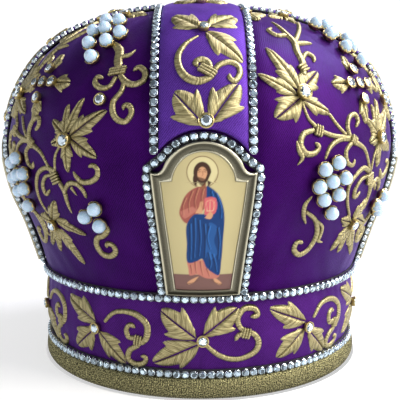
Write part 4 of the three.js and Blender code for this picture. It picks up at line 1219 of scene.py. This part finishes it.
# On the band x is in degrees round it and y is the height. Ten flowers go round; the front one
# stands under the icon, and the others arch over.
BAND_FLOWER = (
    [(-3, 34.4, -13, 47, 17), (1.2, 36, 11, 49, 16), (-2, 29.5, -15.8, 18.2, 17)],
    [[(1, 29.6, 2), (4.8, 24, 2.6), (8.8, 21.2, 2.8), (13, 21.4, 3), (17, 25, 3.2), (17.7, 30, 3.2),
      (15.6, 34.8, 2.8), (11.2, 34.4, 2.6), (10, 31.4, 2)],
     [(14.2, 35.5, 2.5), (11.6, 38.6, 2.7), (10.9, 43.5, 3), (13, 48.2, 3.2), (16.6, 47.6, 3),
      (17.4, 44.4, 2.8), (15, 43.6, 2)]],
    [(13.6, 35.3, 75, 6)],
)
BAND_ARC_FLOWER = (
    [(-1.6, 37.4, -14.4, 46.6, 14), (-2, 31.4, -11, 18.8, 15), (1.6, 30.2, 10.4, 16, 14)],
    [[(3, 37.4, 1.8), (6.4, 43.2, 2.3), (10.2, 45, 2.6), (15, 43.9, 3), (18.4, 39.2, 3.3),
      (18.2, 32.2, 3.3), (16, 28.2, 2.6)],
     [(15.2, 31.4, 2.5), (12.2, 31.6, 2.7), (11.5, 35.7, 2.8), (13, 38.4, 2.5), (14.6, 36.9, 1.8)],
     [(15.6, 27.6, 2.5), (12.2, 23.7, 2.9), (11.5, 18.4, 3), (14, 16.2, 3), (17.2, 18, 2.8),
      (17.6, 21, 2.5), (15.9, 21.4, 1.8)]],
    [(15.4, 30.4, 80, 6)],
)
FLOWERS_ROUND = 10
# the band's tendrils are padded a little fuller than the crown's
BAND_FULLNESS = 1.15
degree = BAND_RADIUS * math.pi / 180


def in_millimetres(motif, turn_deg):
    """A band motif with its degrees turned to millimetres round the band."""
    leaves, cords, knots = motif
    return ([((a + turn_deg) * degree, b, (c + turn_deg) * degree, d, w) for a, b, c, d, w in leaves],
            [[((a + turn_deg) * degree, b, w * BAND_FULLNESS) for a, b, w in one] for one in cords],
            [((a + turn_deg) * degree, b, *rest) for a, b, *rest in knots])


def on_band(x, y, lift):
    """Points on the band at x millimetres round it and a height."""
    radius = band_radius(y) + lift
    angles = x / BAND_RADIUS
    return np.stack([radius * np.sin(angles), -radius * np.cos(angles), y + 0 * radius], -1)


motifs, seats = [], []
for k in range(FLOWERS_ROUND):
    turn_deg = k * 360 / FLOWERS_ROUND
    motifs.append(in_millimetres(BAND_ARC_FLOWER if k else BAND_FLOWER, turn_deg))
    x, z = turn_deg * degree, 33.6 if k else 32.5
    place, beside, above = (on_band(a, b, .3) for a, b in ((x, z), (x + .5, z), (x, z + .5)))
    seats.append((place, axes_of(beside - place, np.cross(beside - place, above - place)), .8))
sewn_piece("embroidery_band", motifs, lambda x, y, h: on_band(x, y, h - .1), 0)
stone_piece("small_stones_band", seats, 0)


# Camera, floor and light
# The camera stands where the photograph was taken, a little under half a metre away. A pale
# floor curves up all round into a low wall. A large soft lamp stands to the right, a small weak
# one to the left and a soft one high at the back, in a pale room.

CAMERA_DISTANCE = 450
CAMERA_HEIGHT = 155.5
CAMERA_TURN = math.radians(.85)
CAMERA_PITCH = math.radians(7.98)
PHOTO_SIZE = 400
FOCAL_PIXELS = 704.6
SENSOR_WIDTH = 36

camera = bpy.data.objects.new("camera", bpy.data.cameras.new("camera"))
camera.data.sensor_width = SENSOR_WIDTH
camera.data.lens = FOCAL_PIXELS / PHOTO_SIZE * SENSOR_WIDTH
camera.data.clip_start = .01
camera.location = (-CAMERA_DISTANCE / 1000 * math.sin(CAMERA_TURN),
                   -CAMERA_DISTANCE / 1000 * math.cos(CAMERA_TURN), CAMERA_HEIGHT / 1000)
camera.rotation_euler = (QUARTER - CAMERA_PITCH, 0, -CAMERA_TURN)
bpy.context.collection.objects.link(camera)
bpy.context.scene.camera = camera

# matt paper that glows a little, so it stays as white as the photograph's ground
floor_finish, _, _ = new_finish(
    "pale_floor", Base_Color=colour("#b4b4b4"), Roughness=.9, Specular_IOR_Level=.1,
    Emission_Color=colour("#ffffff"), Emission_Strength=.62)
# radius and height, from the middle out and up the wall
FLOOR_SECTION = ((0, 0), (600, 0), (1300, 0), (1700, 40), (1950, 220), (2050, 520), (2060, 900))
FLOOR_SIDES = 96
floor_line = smooth_line(FLOOR_SECTION, 6)[1:]
radius, height = floor_line[:, :1], floor_line[:, 1:]
angles = round_turn(FLOOR_SIDES)
points = np.stack([radius * np.cos(angles), radius * np.sin(angles), height + 0 * angles], -1)
faces = [*grid_faces(len(floor_line), FLOOR_SIDES, closed=True).tolist(), list(range(FLOOR_SIDES))]
floor_mesh = bpy.data.meshes.new("studio_floor")
floor_mesh.from_pydata((points.reshape(-1, 3) / 1000).tolist(), [], faces)
floor_mesh.polygons.foreach_set("use_smooth", [True] * len(faces))
floor_mesh.materials.append(floor_finish)
floor = bpy.data.objects.new("studio_floor", floor_mesh)
bpy.context.collection.objects.link(floor)

world = bpy.data.worlds.new("pale_room")
world.use_nodes = True
background = world.node_tree.nodes["Background"]
background.inputs["Color"].default_value = colour("#f2f5fb")
# the room is darker on the left, away from the window
look = add_node(world.node_tree, "ShaderNodeTexCoord").outputs["Generated"]
sideways = add_node(world.node_tree, "ShaderNodeSeparateXYZ", {"Vector": look}).outputs["X"]
daylight = add_node(world.node_tree, "ShaderNodeMapRange", {
    "Value": sideways, "From Min": -1, "To Min": .03, "To Max": .72})
world.node_tree.links.new(daylight.outputs["Result"], background.inputs["Strength"])
bpy.context.scene.world = world
# colours are shown as they are, without a film curve that would pale the deep violet
bpy.context.scene.view_settings.view_transform = "Standard"


MITRE_MIDDLE = 120


def add_lamp(name, place, size, watts, tint):
    """A square soft lamp in millimetres that faces the mitre."""
    lamp = bpy.data.objects.new(name, bpy.data.lights.new(name, "AREA"))
    lamp.data.size = size / 1000
    lamp.data.energy = watts
    lamp.data.color = colour(tint)[:3]
    lamp.location = [v / 1000 for v in place]
    towards = np.array([0, 0, MITRE_MIDDLE]) - np.array(place)
    level = math.hypot(towards[0], towards[1])
    lamp.rotation_euler = (math.atan2(level, -towards[2]), 0, math.atan2(-towards[0], towards[1]))
    bpy.context.collection.objects.link(lamp)


add_lamp("key_lamp", (1000, -480, 720), 600, 22, "#fffaf2")
add_lamp("fill_lamp", (-620, -820, 520), 75, 1.7, "#f4f7ff")
add_lamp("back_lamp", (620, 160, 1000), 700, 22, "#f4f2ff")
